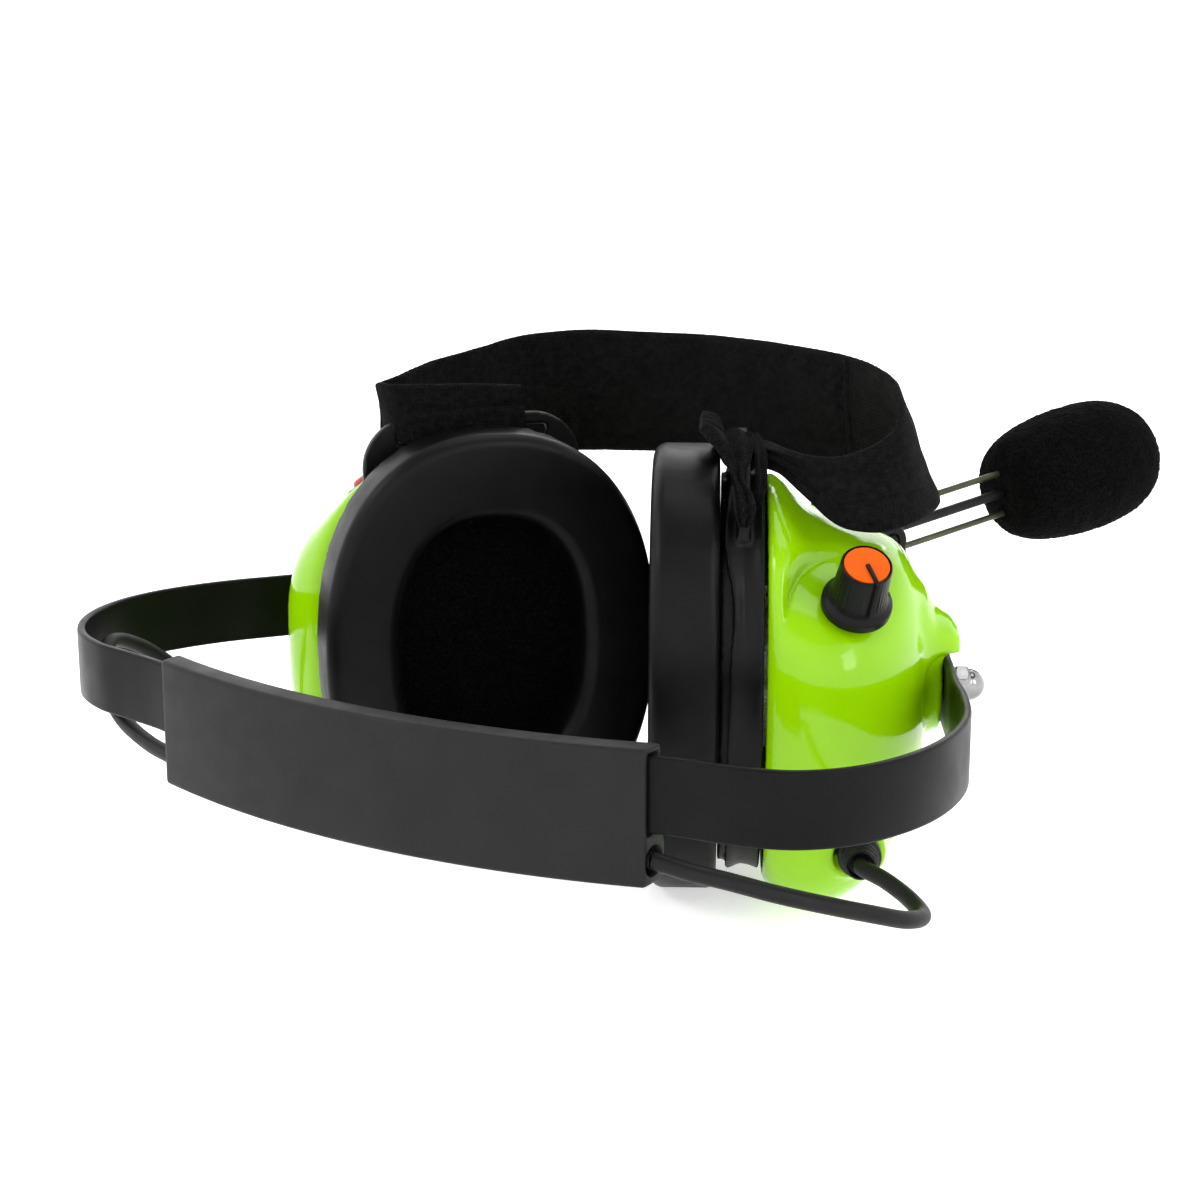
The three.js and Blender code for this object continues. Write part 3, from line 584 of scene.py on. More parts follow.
class Field:
    """Signed distances in millimetres on a grid over a box, negative inside."""

    BAND = 8

    def __init__(self, low, high, voxel):
        self.low = np.array(low, float)
        self.voxel = voxel
        counts = np.ceil((np.array(high) - self.low) / voxel).astype(int) + 1
        axes = [self.low[k] + voxel * np.arange(counts[k]) for k in range(3)]
        self.grid = np.stack(np.meshgrid(*axes, indexing="ij"), axis=-1)

    def skin(self, points, faces):
        """The distance to a closed mesh."""
        triangles = [(f[0], f[i], f[i + 1]) for f in faces for i in range(1, len(f) - 1)]
        transform = openvdb.createLinearTransform(voxelSize=self.voxel)
        level_set = openvdb.FloatGrid.createLevelSetFromPolygons(
            (np.asarray(points) - self.low).astype(np.float32),
            triangles=np.array(triangles, np.uint32),
            transform=transform,
            halfWidth=self.BAND,
        )
        values = np.zeros(self.grid.shape[:3], np.float32)
        level_set.copyToArray(values)
        return values.astype(float)

    def rod(self, at, axis, radius, start, end):
        along = np.asarray(axis, float) / np.linalg.norm(axis)
        away = self.grid - np.asarray(at, float)
        height = away @ along
        radial = np.linalg.norm(away - height[..., None] * along, axis=-1) - radius
        return np.maximum(radial, np.maximum(start - height, height - end))

    def block(self, low, high, round_by=0.0):
        return box_distance(self.grid, low, high, round_by)

    def mesh(self, values):
        grid = openvdb.FloatGrid()
        grid.copyFromArray(np.clip(values, -self.BAND, self.BAND).astype(np.float32))
        grid.transform = openvdb.createLinearTransform(voxelSize=self.voxel)
        points, _, quads = grid.convertToPolygons(isovalue=0.0, adaptivity=0.0)
        return points.astype(float) + self.low, quads


def joined(a, b, fillet=0.0):
    """a and b together, with a soft inner corner."""
    if not fillet:
        return np.minimum(a, b)
    overlap = np.maximum(fillet - np.abs(a - b), 0) / fillet
    return np.minimum(a, b) - overlap**2 * fillet / 4


def trimmed(a, b, fillet=0.3):
    """a where it is outside b."""
    return -joined(-a, b, fillet)


# Cup pieces


def cup_piece(cup, name, shape, slot, node, crease=40):
    """A piece that both cups have, from a shape in the cup's own frame."""
    return stand_in(
        f"{cup.name}_{name}", cup.mesh(*shape), slot, cup.body, f"{cup.name}_{node}", crease
    )


def make_cushion(cup):
    """A soft ring with a broad rolled face, a rolled hole edge and faint puckers at its seams."""
    count = 128
    outer = oval(CUSHION["half"], CUSHION["height"], count=count)
    inner = oval(CUSHION["hole_half"], CUSHION["hole_height"], power=2.4, count=count)
    width = np.linalg.norm(outer - inner, axis=1)
    angle = angles(count)
    depth = CUSHION["depth"]
    side_crown, dish = 0.35, 1.6
    corners = [(0, 0, 3.6), (1, 0, 3.4), (1, depth, 2.2), (0, depth, 2)]
    section = []
    for (w, d, r), turn in zip(corners, (180, 270, 0, 90)):
        for step in np.linspace(0, 90, 9):
            way = math.radians(turn + step)
            inset = (r if w == 0 else -r, r if d == 0 else -r)
            section.append((w, d, inset[0] + r * math.cos(way), inset[1] + r * math.sin(way)))
    rings = []
    for w, d, across, down in section:
        reach = w * width + across
        deep = d + down
        share = np.clip(reach / width, 0, 1)
        sunk = dish * (1 - share) ** 1.5 * (1 if deep < depth / 2 else 0)
        bulge = side_crown * math.sin(math.pi * np.clip(deep / depth, 0, 1)) * (1 if w else -1)
        seam = math.exp(-(((deep - depth + 2.2) / 1.3) ** 2)) * (1 if w else 0.6)
        pucker = 0.09 * seam * (np.sin(46 * angle) + 0.7 * np.sin(73 * angle + 1) + 0.5 * np.sin(29 * angle))
        share = (reach + bulge + pucker) / width
        outline = inner + (outer - inner) * share[:, None]
        rings.append(at_depth(outline, deep + sunk - 0.25 * seam))
    piece = cup_piece(cup, "cushion", loft(rings, closed=True), "cushion_vinyl", "ear_cushion", 180)


def make_liner(cup):
    """The foam pad behind the ear opening, dished and slightly uneven."""
    count = 96
    half, height = PLATE["half"] - PLATE["rim"] - 1.5, PLATE["height"] - PLATE["rim"] - 1.5
    outline = oval(half, height, count=count)
    rings = []
    for share, depth in [(0.02, 23.3), (0.5, 23.3), (0.97, 23.3), (1, 22.9), (1, 21.6), (0.97, 21.1)]:
        rings.append(at_depth(outline * share, depth))
    for share in np.linspace(0.94, 0.02, 26):
        ring = at_depth(outline * share, 20.9 + 0.9 * (1 - share**2))
        ring[:, 0] += [0.35 * noise.noise(Vector(p) / 7) for p in ring]
        rings.append(ring)
    piece = cup_piece(cup, "foam", loft(rings), "foam", "foam_liner")


def tab_distance(field):
    """The strap tab: a rounded rectangle standing on the plate."""
    half = (TAB["half"], TAB["top"])
    low = PLATE["height"] - 12
    across = np.abs(field.grid[..., 1]) - (half[0] - TAB["round"])
    upward = field.grid[..., 2] - (half[1] - TAB["round"])
    corner = np.hypot(np.maximum(across, 0), np.maximum(upward, 0))
    rounded = corner + np.minimum(np.maximum(across, upward), 0) - TAB["round"]
    flat = np.maximum(rounded, low - field.grid[..., 2])
    middle = TAB["from"] + TAB["thick"] / 2
    return np.maximum(flat, np.abs(field.grid[..., 0] - middle) - TAB["thick"] / 2)


def hump(values, middle, width):
    """A smooth bump of height 1."""
    return np.exp(-(((values - middle) / width) ** 2))


def plate_lip(upward):
    """How far the plate's front edge rolls towards the cushion."""
    return 1.3 + 1.8 * hump(upward, 40, 9) - 0.9 * hump(upward, 23, 8) + 0.5 * hump(upward, -25, 25)


def make_plate(cup):
    """The seal plate: collar, rolled rim and slotted strap tab in one moulding."""
    count = 96
    outer = oval(PLATE["half"], PLATE["height"], count=count)
    room = oval(PLATE["half"] - PLATE["rim"], PLATE["height"] - PLATE["rim"], count=count)
    collar = oval(COLLAR["half"], COLLAR["height"], count=count)
    hole = oval(COLLAR["hole_half"], COLLAR["hole_height"], count=count)
    lip = plate_lip(outer[:, 1])
    rings = [
        at_depth(hole, COLLAR["front"]),
        at_depth(collar, COLLAR["front"]),
        at_depth(collar, PLATE["front"]),
        at_depth(outer * 0.965, PLATE["front"] - lip + 1.4),
        at_depth(outer * 0.98, PLATE["front"] - lip + 0.2),
        at_depth(outer * 0.997, PLATE["front"] - lip + 0.4),
        at_depth(outer, PLATE["front"] - lip + 1.2),
        at_depth(outer * 0.975, PLATE["front"] + 2.2),
        at_depth(outer * 0.98, PLATE["front"] + 4.2),
        at_depth(outer, PLATE["back"]),
        at_depth(room, PLATE["back"]),
        at_depth(room, PLATE["front"] + 0.3),
        at_depth(hole, PLATE["front"] + 0.3),
    ]
    field = Field((14, -46, -56), (31, 46, 60), 0.6)
    values = field.skin(*loft(rings, closed=True))
    values = joined(values, tab_distance(field), 1.2)
    slot = field.block((0, -SLOT["half"], SLOT["low"]), (60, SLOT["half"], SLOT["high"]), 1)
    values = trimmed(values, slot, 0.8)
    cup_piece(cup, "plate", field.mesh(values), "black_plastic", "seal_plate", 180)


def shell_rings():
    """The shell's outline at each depth, led out past its open edge."""
    rings = []
    for depth, back, front, up, down in smooth(SHELL, 60):
        outline = oval((back + front) / 2, up, down, 2.3, 3, 72) + np.array([(back - front) / 2, 0])
        rings.append(at_depth(outline, depth))
    lead = rings[0].copy()
    lead[:, 0] -= 8
    return [lead, *rings]


def outline_distance(corners, x, y):
    """Signed distance to a closed flat outline, negative inside."""
    corners = np.asarray(corners, float)
    nearest = np.full(x.shape, np.inf)
    inside = np.zeros(x.shape, bool)
    for (ax, ay), (bx, by) in zip(corners, np.roll(corners, -1, axis=0)):
        run, rise = bx - ax, by - ay
        share = np.clip(((x - ax) * run + (y - ay) * rise) / (run**2 + rise**2), 0, 1)
        nearest = np.minimum(nearest, np.hypot(x - ax - share * run, y - ay - share * rise))
        if ay != by:
            inside ^= ((ay > y) != (by > y)) & (x < run * (y - ay) / rise + ax)
    return np.where(inside, -nearest, nearest)


def hood_distance(field):
    """The hood over the strip's end: crowned on top, level underneath, with a blunt outer face."""
    depth, back, up = (field.grid[..., k] for k in range(3))
    across = back - STUD["back"]
    wide = 8.5 + np.clip(75 - depth, 0, 20) * 0.4
    crowned = outline_distance(HOOD, depth, up + 0.035 * across**2)
    profile = np.maximum(crowned, HOOD[0][1] - up)
    return -joined(-profile, wide - np.abs(across), 2.5)


def make_shell(cup, pads, bores, facets=lambda field: ()):
    """The outer shell: one hollow moulding with its hood, pivot boss, pads and holes."""
    field = Field((25, -56, -57), (78, 48, 54), 0.75)
    solid = field.skin(*loft(shell_rings()))
    hollow = solid + WALL
    solid = trimmed(solid, field.grid[..., 0] - SHELL[0][0], 3.5)
    stud = (0, STUD["back"], STUD["up"])
    gland = (GLAND["depth"], 0, GLAND["up"])
    solid = joined(solid, hood_distance(field), 5)
    solid = joined(solid, field.rod(stud, (1, 0, 0), 11, 50, STRIP["depth"] - 0.3), 3)
    solid = joined(solid, field.rod(gland, (0, 1, 0), 6.5, 10, GLAND["face"]), 3)
    for pad, fillet in pads(field):
        solid = joined(solid, pad, fillet)
    for facet in facets(field):
        solid = trimmed(solid, facet, 6)
        hollow = trimmed(hollow, facet - WALL, 4)
    solid = trimmed(solid, hollow, 0.3)
    solid = np.maximum(solid, SHELL[0][0] - field.grid[..., 0])
    cuts = [
        field.rod(stud, (1, 0, 0), STUD["bore"], 40, 90),
        field.rod(gland, (0, 1, 0), 3.6, 0, 50),
        field.rod(gland, (0, 1, 0), 6, GLAND["face"], 60),
        *bores(field),
    ]
    for cut in cuts:
        solid = trimmed(solid, cut, 0.8)
    cup_piece(cup, "lime_shell", field.mesh(solid), "lime_shell", "shell", 180)


def boom_way(ahead, side, up, rise=BOOM["rise"]):
    """A direction in the boom's own frame as (depth, back, up) on the right cup."""
    x = ahead * math.cos(rise) - up * math.sin(rise)
    z = ahead * math.sin(rise) + up * math.cos(rise)
    depth = x * math.cos(BOOM["yaw"]) - side * math.sin(BOOM["yaw"])
    front = x * math.sin(BOOM["yaw"]) + side * math.cos(BOOM["yaw"])
    return np.stack([depth, -front, z + 0 * front], axis=-1)


def boom_block_distance(field, low, high, round_by):
    """A box in the boom bracket's frame."""
    away = field.grid - np.array(BOOM["at"])
    ahead_axis, side_axis = boom_way(1, 0, 0, 0), boom_way(0, 1, 0, 0)
    local = np.stack([away @ ahead_axis, away @ side_axis, away[..., 2]], axis=-1)
    return box_distance(local, low, high, round_by)


def right_pads(field):
    yield boom_block_distance(field, (-27, -7, -9), (-14.6, 7, 9), 1), 3


def right_bores(field):
    yield field.rod(KNOB["at"], KNOB["axis"], 3.8, -20, 10)


def knob_facet(field):
    """The flat round seat for the knob, with a soft edge."""
    yield field.rod(KNOB["at"], KNOB["axis"], KNOB["pad"] + 5, 1.5, 24)


def left_pads(field):
    yield field.rod(TALK["at"], TALK["axis"], TALK["pad"], -5, 1.5), 3
    yield field.rod((SOCKET["depth"], 0, SOCKET["up"]), (0, -1, 0), 7.5, 10, SOCKET["face"]), 3


def left_bores(field):
    yield field.rod(TALK["at"], TALK["axis"], 5.3, -20, 10)
    yield field.rod(TALK["at"], TALK["axis"], TALK["pad"] + 0.4, 1.5, 12)
    yield field.rod((SOCKET["depth"], 0, SOCKET["up"]), (0, -1, 0), 4.5, 0, 60)


def cup_turned(cup, name, node, slot, profile, at, axis, sides=64, ripple=None, body=None, round_by=0.3):
    """A turned piece on a cup, with its edges eased."""
    shape = turned(eased(profile, round_by), at, axis, sides, ripple)
    stand_in(name, cup.mesh(*shape), slot, body or cup.body, node, 50)


def make_nut(cup):
    """A hexagon nut with a washer face and a domed end."""
    start, back, up = NUT["start"], STUD["back"], STUD["up"]
    field = Field((start - 1.5, back - 8, up - 8), (start + 9.5, back + 8, up + 8), 0.3)
    across = field.grid[..., 1] - back
    upward = field.grid[..., 2] - up
    depth = field.grid[..., 0] - start
    hexagon = np.full(across.shape, -1e3)
    for k in range(3):
        turn = math.radians(60 * k)
        reach = np.abs(across * math.cos(turn) + upward * math.sin(turn))
        hexagon = np.maximum(hexagon, reach - NUT["flats"])
    radial = np.hypot(across, upward)
    chamfer = (radial + 0.6 * np.abs(depth - 1.7) - 5.3) * 0.8
    nut = np.maximum(np.maximum(hexagon, chamfer), np.maximum(-depth, depth - NUT["thick"]))
    dome = np.hypot(radial, np.maximum(depth - NUT["thick"] - 0.2, 0)) - NUT["dome"]
    values = joined(nut, np.maximum(dome, -depth), 0.4)
    bore = field.rod((0, back, up), (1, 0, 0), STUD["bore"], start - 1, NUT["bore_end"])
    values = trimmed(values, bore, 0.2)
    cup_piece(cup, "cap_nut", field.mesh(values), "chrome", "acorn_nut", 35)


def make_gland(cup):
    """A soft tapered strain relief with a collar and three ribs."""
    face = GLAND["face"] + 0.3
    end = GLAND["face"] + GLAND["length"]
    profile = [(0, 26), (3.3, 26), (3.3, face), (5.2, face), (5.2, face + 3), (4.5, face + 3.6)]
    for k in range(3):
        base, crest, root = face + 4 + 1.5 * k, 4.4 - 0.3 * k, 3.8 - 0.3 * k
        profile += [(crest, base), (crest, base + 0.8), (root, base + 1), (root, base + 1.4)]
    profile += [(3.2, end), (0, end)]
    at = (GLAND["depth"], 0, GLAND["up"])
    name, node = f"{cup.name}_strain_relief", f"{cup.name}_cable_gland"
    cup_turned(cup, name, node, "cable_rubber", profile, at, (0, 1, 0), 40)


def make_common(cup):
    make_cushion(cup)
    make_liner(cup)
    make_plate(cup)
    make_nut(cup)
    make_gland(cup)
    start = STRIP["depth"] + STRIP["thick"] + 0.3
    ring = [(STUD["bore"], start), (5.4, start), (5.4, start + 0.8), (STUD["bore"], start + 0.8)]
    stud = (0, STUD["back"], STUD["up"])
    cup_piece(cup, "flat_washer", turned(ring, stud, (1, 0, 0), closed=True), "steel", "washer", 35)


# Volume control and talk button


def flutes(angle, radius, height):
    """Fine flutes round the knob's body, above its skirt."""
    if not 6.5 < height < KNOB["height"] - 0.8 or radius < 5.8:
        return np.zeros(len(angle))
    return -0.16 * np.abs(np.sin(18 * angle))


def make_knob():
    """The volume knob with its coloured cap."""
    skirt, body, top = KNOB["skirt"], KNOB["body"], KNOB["height"]
    profile = [
        (0, 12.8), (3.1, 12.8), (3.1, 6.2), (6.6, 6.2), (6.6, 2.2), (skirt, 2.2), (skirt, 4.4),
        (body + 1, 5.6), (body + 0.45, 7), (body + 0.3, 10), (body, top - 0.4), (body - 0.3, top),
        (5.6, top), (5.6, top - 1.3), (0, top - 1.3),
    ]
    at, axis, body = KNOB["at"], KNOB["axis"], "volume_knob"
    cup_turned(RIGHT, "knob_body", body, "black_plastic", profile, at, axis, 144, flutes, body, 0.35)
    cap = [(0, top - 1), (5.3, top - 1), (5.3, top - 0.1), (0, top - 0.1)]
    cup_turned(RIGHT, "knob_orange_cap", "knob_cap", "orange_cap", cap, at, axis, 72, None, body, 0.2)
    make_pointer()


def make_pointer():
    """A raised line from the cap's middle over its edge and down the knob's side."""
    top = KNOB["height"]
    route = [
        (0.2, top + 0.25), (5.4, top + 0.25), (6.15, top + 0.05), (6.45, top - 0.6), (6.75, 10), (7, 6.4),
    ]
    section = ((-0.5, -0.25), (0.5, -0.25), (0.38, 0.3), (-0.38, 0.3))
    line = smooth(route, 40)
    axis = np.array(KNOB["axis"]) / np.linalg.norm(KNOB["axis"])
    pointing = pointer_direction()
    side = np.cross(axis, pointing)
    rings = []
    for (r, h), (dr, dh) in zip(line, headings(line)):
        middle = np.array(KNOB["at"]) + pointing * r + axis * h
        out = axis * dr - pointing * dh
        rings.append(np.array([middle + side * x + out * y for x, y in section]))
    shape = RIGHT.mesh(*loft(rings))
    stand_in("knob_pointer_line", shape, "black_plastic", "volume_knob", "knob_pointer", 35)


def pointer_direction():
    """The knob's pointer faces down its own slope, towards the neckband."""
    axis = np.array(KNOB["axis"]) / np.linalg.norm(KNOB["axis"])
    down = np.array([0.35, 0.75, -0.6])
    flat = down - axis * (down @ axis)
    return flat / np.linalg.norm(flat)


def make_talk():
    """The talk button in its ring."""
    ring = [(5.3, 1.8), (8, 1.8), (8, 3.2), (7.6, 3.9), (6.8, 4.4), (5.6, 4.4), (5.3, 4.1)]
    shape = LEFT.mesh(*turned(ring, TALK["at"], TALK["axis"], closed=True))
    stand_in("talk_bezel_ring", shape, "olive_trim", "left_cup", "talk_bezel", 50)
    button = [(0, -4), (4.9, -4), (4.9, 5), (4.5, 5.7), (3.4, 6.1), (1.5, 6.0), (0, 5.9)]
    at, axis, body = TALK["at"], TALK["axis"], "talk_button"
    cup_turned(LEFT, "talk_button_cap", body, "red_button", button, at, axis, 56, None, body)


def make_socket():
    """The radio's panel socket, with a flange and a hollow end."""
    face = SOCKET["face"]
    profile = [
        (0, 25), (4.2, 25), (4.2, face + 0.3), (6.2, face + 0.3), (6.2, face + 3), (4.6, face + 4),
        (4.6, face + 8), (2.6, face + 8), (2.6, 30), (0, 30),
    ]
    at = (SOCKET["depth"], 0, SOCKET["up"])
    cup_turned(LEFT, "radio_socket_body", "radio_socket", "black_plastic", profile, at, (0, -1, 0), 48)


# Boom


def boom_piece(name, node, slot, shape, body="boom", crease=50, rise=BOOM["rise"]):
    """A piece from a shape in the boom's own frame: ahead, to the side and up."""
    ahead, side, up = np.asarray(shape[0], float).T
    shape = RIGHT.mesh(np.array(BOOM["at"]) + boom_way(ahead, side, up, rise), shape[1])
    return stand_in(name, shape, slot, body, node, crease)


def make_bracket():
    """A forked bracket, screwed flat to the shell's pad."""
    field = Field((-16, -11, -12), (6, 11, 12), 0.4)
    half, gap, tall, ear = FORK["half"], FORK["gap"], FORK["tall"], FORK["ear"]
    values = field.block((-14.3, -half, -tall), (-11.8, half, tall), 0.8)
    for low, high in ((-half, -gap), (gap, half)):
        arm = field.block((-13, low, -ear), (0, high, ear), 0.2)
        values = joined(values, joined(arm, field.rod((0, 0, 0), (0, 1, 0), ear, low, high)), 1.2)
    values = trimmed(values, field.rod((0, 0, 0), (0, 1, 0), FORK["bore"], -20, 20), 0.3)
    boom_piece("boom_fork", "boom_bracket", "black_plastic", field.mesh(values), "right_cup", 45, 0)


def make_block():
    """The tilting block that grips the wires, with its trunnions."""
    field = Field((-8, -11, -12), (8, 11, 12), 0.35)
    half, tall = CLAMP["half"], CLAMP["tall"]
    values = field.block((-6, -half, -tall), (6, half, tall), 1)
    values = joined(values, field.rod((0, 0, 0), (0, 1, 0), CLAMP["trunnion"], -9, 9), 0.3)
    for row in (-1, 0, 1):
        radius = 1.8 if row == 0 else WIRE["radius"] + 0.35
        values = trimmed(values, field.rod((0, 0, row * WIRE["spread"]), (1, 0, 0), radius, -20, 20), 0.3)
    values = trimmed(values, field.rod((0, 0, 0), (0, 0, 1), 1.75, 6.2, 20), 0.3)
    boom_piece("boom_clamp_block", "boom_block", "black_plastic", field.mesh(values), "boom_block", 45)


def knurl(angle, radius, height):
    """Fine grooves round the screw's head."""
    return -0.18 * np.abs(np.sin(14 * angle)) if radius > 4 else np.zeros(len(angle))


def make_screw():
    profile = [(0, 7.4), (1.4, 7.4), (1.4, 10.2), (4.2, 10.2), (4.5, 10.7), (4.5, 14), (4, 14.5), (0, 14.5)]
    shape = turned(eased(profile, 0.25), (0, 0, 0), (0, 0, 1), 112, knurl)
    boom_piece("clamp_thumb_screw", "boom_clamp_screw", "steel", shape, "clamp_screw")


def make_rods():
    """The boom's two wires and the microphone's own cable between them."""
    for name, node, radius, up, slot in (
        ("boom_rod_upper", "boom_wire_upper", WIRE["radius"], WIRE["spread"], "boom_wire"),
        ("boom_rod_lower", "boom_wire_lower", WIRE["radius"], -WIRE["spread"], "boom_wire"),
        ("mic_cable", "boom_cable", 1.3, 0, "cable_rubber"),
    ):
        profile = [(0, WIRE["from"]), (radius, WIRE["from"])]
        profile += [(radius, x) for x in np.linspace(WIRE["from"] + 1, WIRE["to"] - 1, 12)]
        profile += [(radius, WIRE["to"]), (0, WIRE["to"])]
        boom_piece(name, node, slot, turned(profile, (0, 0, up), (1, 0, 0), 24))


# The foam's outer outline and the room inside it, as (radius, distance along the boom)
WINDSCREEN = [
    (0.2, 43), (4, 42.7), (8, 42.8), (11.4, 44.2), (14.2, 48), (16.2, 54.5), (17.3, 62), (17.6, 70), (17, 78),
    (14.8, 85), (10.4, 90.2), (5, 92.4), (0.2, 93),
]
WINDSCREEN_ROOM = [(0, 44.4), (9, 44.4), (9, 70), (0, 70)]


def make_windscreen():
    """Open-cell foam over the microphone, closed round the wires and hollow where the microphone sits."""
    outline = evenly(smooth(WINDSCREEN, 200), 110)
    points, faces = turned([(0, outline[0][1]), *outline, (0, outline[-1][1])], (0, 0, 0), (1, 0, 0), 220)
    away = points - np.array([68, 0, 0])
    away /= np.linalg.norm(away, axis=1)[:, None]
    rough = [0.3 * noise.noise(Vector(p) / 0.8) + 0.25 * noise.noise(Vector(p) / 4) for p in points]
    room_points, room_faces = turned(WINDSCREEN_ROOM, (0, 0, 0), (1, 0, 0), 48)
    faces += [tuple(len(points) + i for i in reversed(face)) for face in room_faces]
    points = np.concatenate([points + away * np.array(rough)[:, None], room_points])
    piece = boom_piece("foam_windscreen", "mic_windscreen", "foam", (points, faces), crease=180)


def make_microphone():
    """The microphone's barrel in its clip at the ends of the wires, inside the foam."""
    field = Field((42, -10, -10), (64, 10, 10), 0.4)
    values = field.block((44, -4, -7.8), (47, 4, 7.8), 0.8)
    barrel = field.rod((0, 0, 0), (1, 0, 0), 8, 47, 62)
    neck = field.rod((0, 0, 0), (1, 0, 0), 7, 46, 62)
    values = joined(joined(values, barrel, 0), neck, 0.8)
    boom_piece("mic_body", "mic_housing", "black_plastic", field.mesh(values))


def make_boom():
    make_bracket()
    make_block()
    make_screw()
    make_rods()
    make_windscreen()
    make_microphone()


# Neckband


def inset_loop(loop, amount):
    """A plan outline moved inward by an amount, its points given counter-clockwise."""
    ahead = np.roll(loop, -1, axis=0) - np.roll(loop, 1, axis=0)
    ahead /= np.linalg.norm(ahead, axis=1)[:, None]
    area = np.sum(loop[:, 0] * np.roll(loop[:, 1], -1) - np.roll(loop[:, 0], -1) * loop[:, 1])
    inward = np.column_stack([-ahead[:, 1], ahead[:, 0]]) * np.sign(area)
    return loop + inward * amount


def rounded_outline(corners, radius, steps=4):
    """A closed outline with its corners rounded; a corner may bring its own radius."""
    points = []
    count = len(corners)
    for k in range(count):
        corner = np.array(corners[k][:2], float)
        own = corners[k][2] if len(corners[k]) > 2 else radius
        for_start = np.array(corners[k - 1][:2], float) - corner
        for_end = np.array(corners[(k + 1) % count][:2], float) - corner
        start = corner + for_start / np.linalg.norm(for_start) * min(own, np.linalg.norm(for_start) * 0.48)
        end = corner + for_end / np.linalg.norm(for_end) * min(own, np.linalg.norm(for_end) * 0.48)
        points += corner_curve(start, corner, end, steps)
    return np.array(points)


def sleeve_loops(ease):
    """The sleeve's section as (towards the wearer, up): its outline, strip slot and cable channel."""
    half, low, high = SLEEVE["thick"] / 2, SLEEVE["low"], SLEEVE["high"]
    swell = 2
    outline = rounded_outline(
        [
            (-half, low, 1.3), (half + swell, low, 3), (half + swell, low + 9.5, 2), (half, low + 12, 2),
            (half, high, 1.2), (-half, high, 1.2),
        ],
        1,
    )
    slot_half = STRIP["thick"] / 2 + 0.9
    slot_low, slot_high = (STRIP["level"] + s * (STRIP["height"] / 2 + 0.5) for s in (-1, 1))
    slot = rounded_outline(
        [(-slot_half, slot_low), (slot_half, slot_low), (slot_half, slot_high), (-slot_half, slot_high)], 0.5
    )
    channel = oval(3.3, 3.4, power=2, count=32) + np.array([CABLE["inset"], CABLE["level"]])
    return [inset_loop(outline, ease), inset_loop(slot, -ease * 0.7), inset_loop(channel, -ease * 0.4)]


def on_sleeve(loop, along):
    """A section's points in an upright plane across the object, so that the sleeve's ends are square."""
    radius = SLEEVE["radius"] - loop[:, 0]
    x = np.full(len(loop), SLEEVE["radius"] * math.sin(along))
    y = SLEEVE["nose"] + SLEEVE["radius"] - np.sqrt(radius**2 - x**2)
    return np.column_stack([x, y, loop[:, 1]])


def make_sleeve():
    reach = math.asin(SLEEVE["half_length"] / SLEEVE["radius"])
    edge = 0.7 / SLEEVE["radius"]
    stops = [(-reach, 0.6), (-reach + edge * 0.3, 0.18), (-reach + edge, 0)]
    stops += [(a, 0) for a in np.linspace(-reach, reach, 90)[1:-1]]
    stops += [(-a, ease) for a, ease in reversed(stops[:3])]
    sections = [[on_sleeve(loop, along) for loop in sleeve_loops(ease)] for along, ease in stops]
    stand_in("sleeve_moulding", holed_loft(sections), "band_rubber", "neckband", "neckband_sleeve", 38)


def arm_line(cup, bend):
    """The strip's middle line from above, from inside the sleeve to its end on the cup."""
    side = math.copysign(1, cup.middle[0])
    x = FLEX_X - 2.2
    y = SLEEVE["nose"] + SLEEVE["radius"] - math.sqrt(SLEEVE["radius"] ** 2 - x**2)
    plane = STRIP["depth"] + STRIP["thick"] / 2
    straight = [cup.place((plane, back, 0))[:2] for back in (30, 22, 14, 5, -6)]
    return smooth([(side * x, y), *bend, *straight], 500)


def make_arm(cup, bend):
    line = evenly(arm_line(cup, bend), 130)
    ahead = headings(line)
    left = np.linspace(lengths(line)[-1], 0, len(line))
    corner = 5.5
    half_height = STRIP["height"] / 2
    rings = []
    for (x, y), (dx, dy), rest in zip(line, ahead, left):
        cut = corner - math.sqrt(max(corner**2 - max(corner - rest, 0) ** 2, 0.04))
        tall = half_height - cut
        thin = STRIP["thick"] / 2 - 0.25 * max(0.5 - rest, 0)
        section = rounded_outline([(-thin, -tall), (thin, -tall), (thin, tall), (-thin, tall)], 0.75, 3)
        rings.append(
            np.column_stack([x - dy * section[:, 0], y + dx * section[:, 0], STRIP["level"] + section[:, 1]])
        )
    name, body, node = (f"{cup.name}_{part}" for part in ("band", "arm", "strip_arm"))
    stand_in(name, loft(rings), "band_rubber", body, node, 60, "strip")


# Cords


def sweep(line, radius, sides=20):
    """A round tube along a line."""
    ahead = headings(line)
    across = np.cross(ahead[0], (0, 0, 1))
    rings = []
    for place, tangent in zip(line, ahead):
        across = across - tangent * (across @ tangent)
        across /= np.linalg.norm(across)
        rings.append(place + radius * spokes(across, np.cross(tangent, across), sides))
    return loft(rings)


def cable_line(cup, points):
    """The cable's whole curve, ending square in the gland's mouth."""
    mouth = GLAND["face"] + GLAND["length"] + 0.3
    ends = [cup.place((GLAND["depth"], back, GLAND["up"])) for back in (mouth + 2.5, mouth)]
    return smooth([*points, *ends], 900)


def make_cable(cup, points):
    """The loop from the sleeve's mouth to the cup's gland, in two lengths split halfway along it."""
    line = cable_line(cup, points)
    arm = f"{cup.name}_arm"
    for part, share, bodies in (("lower", (0, 0.5), ("neckband", arm)), ("upper", (0.5, 1), (arm, cup.body))):
        route = evenly(line, 64, share)
        shape = sweep(route, CABLE["radius"])
        piece = finished(f"{cup.name}_cord_{part}", shape, "cable_rubber", crease=60)
        path = in_frame(route)
        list(bodies)
        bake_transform(piece)
        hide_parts(f"{cup.name}_cable_{part}")


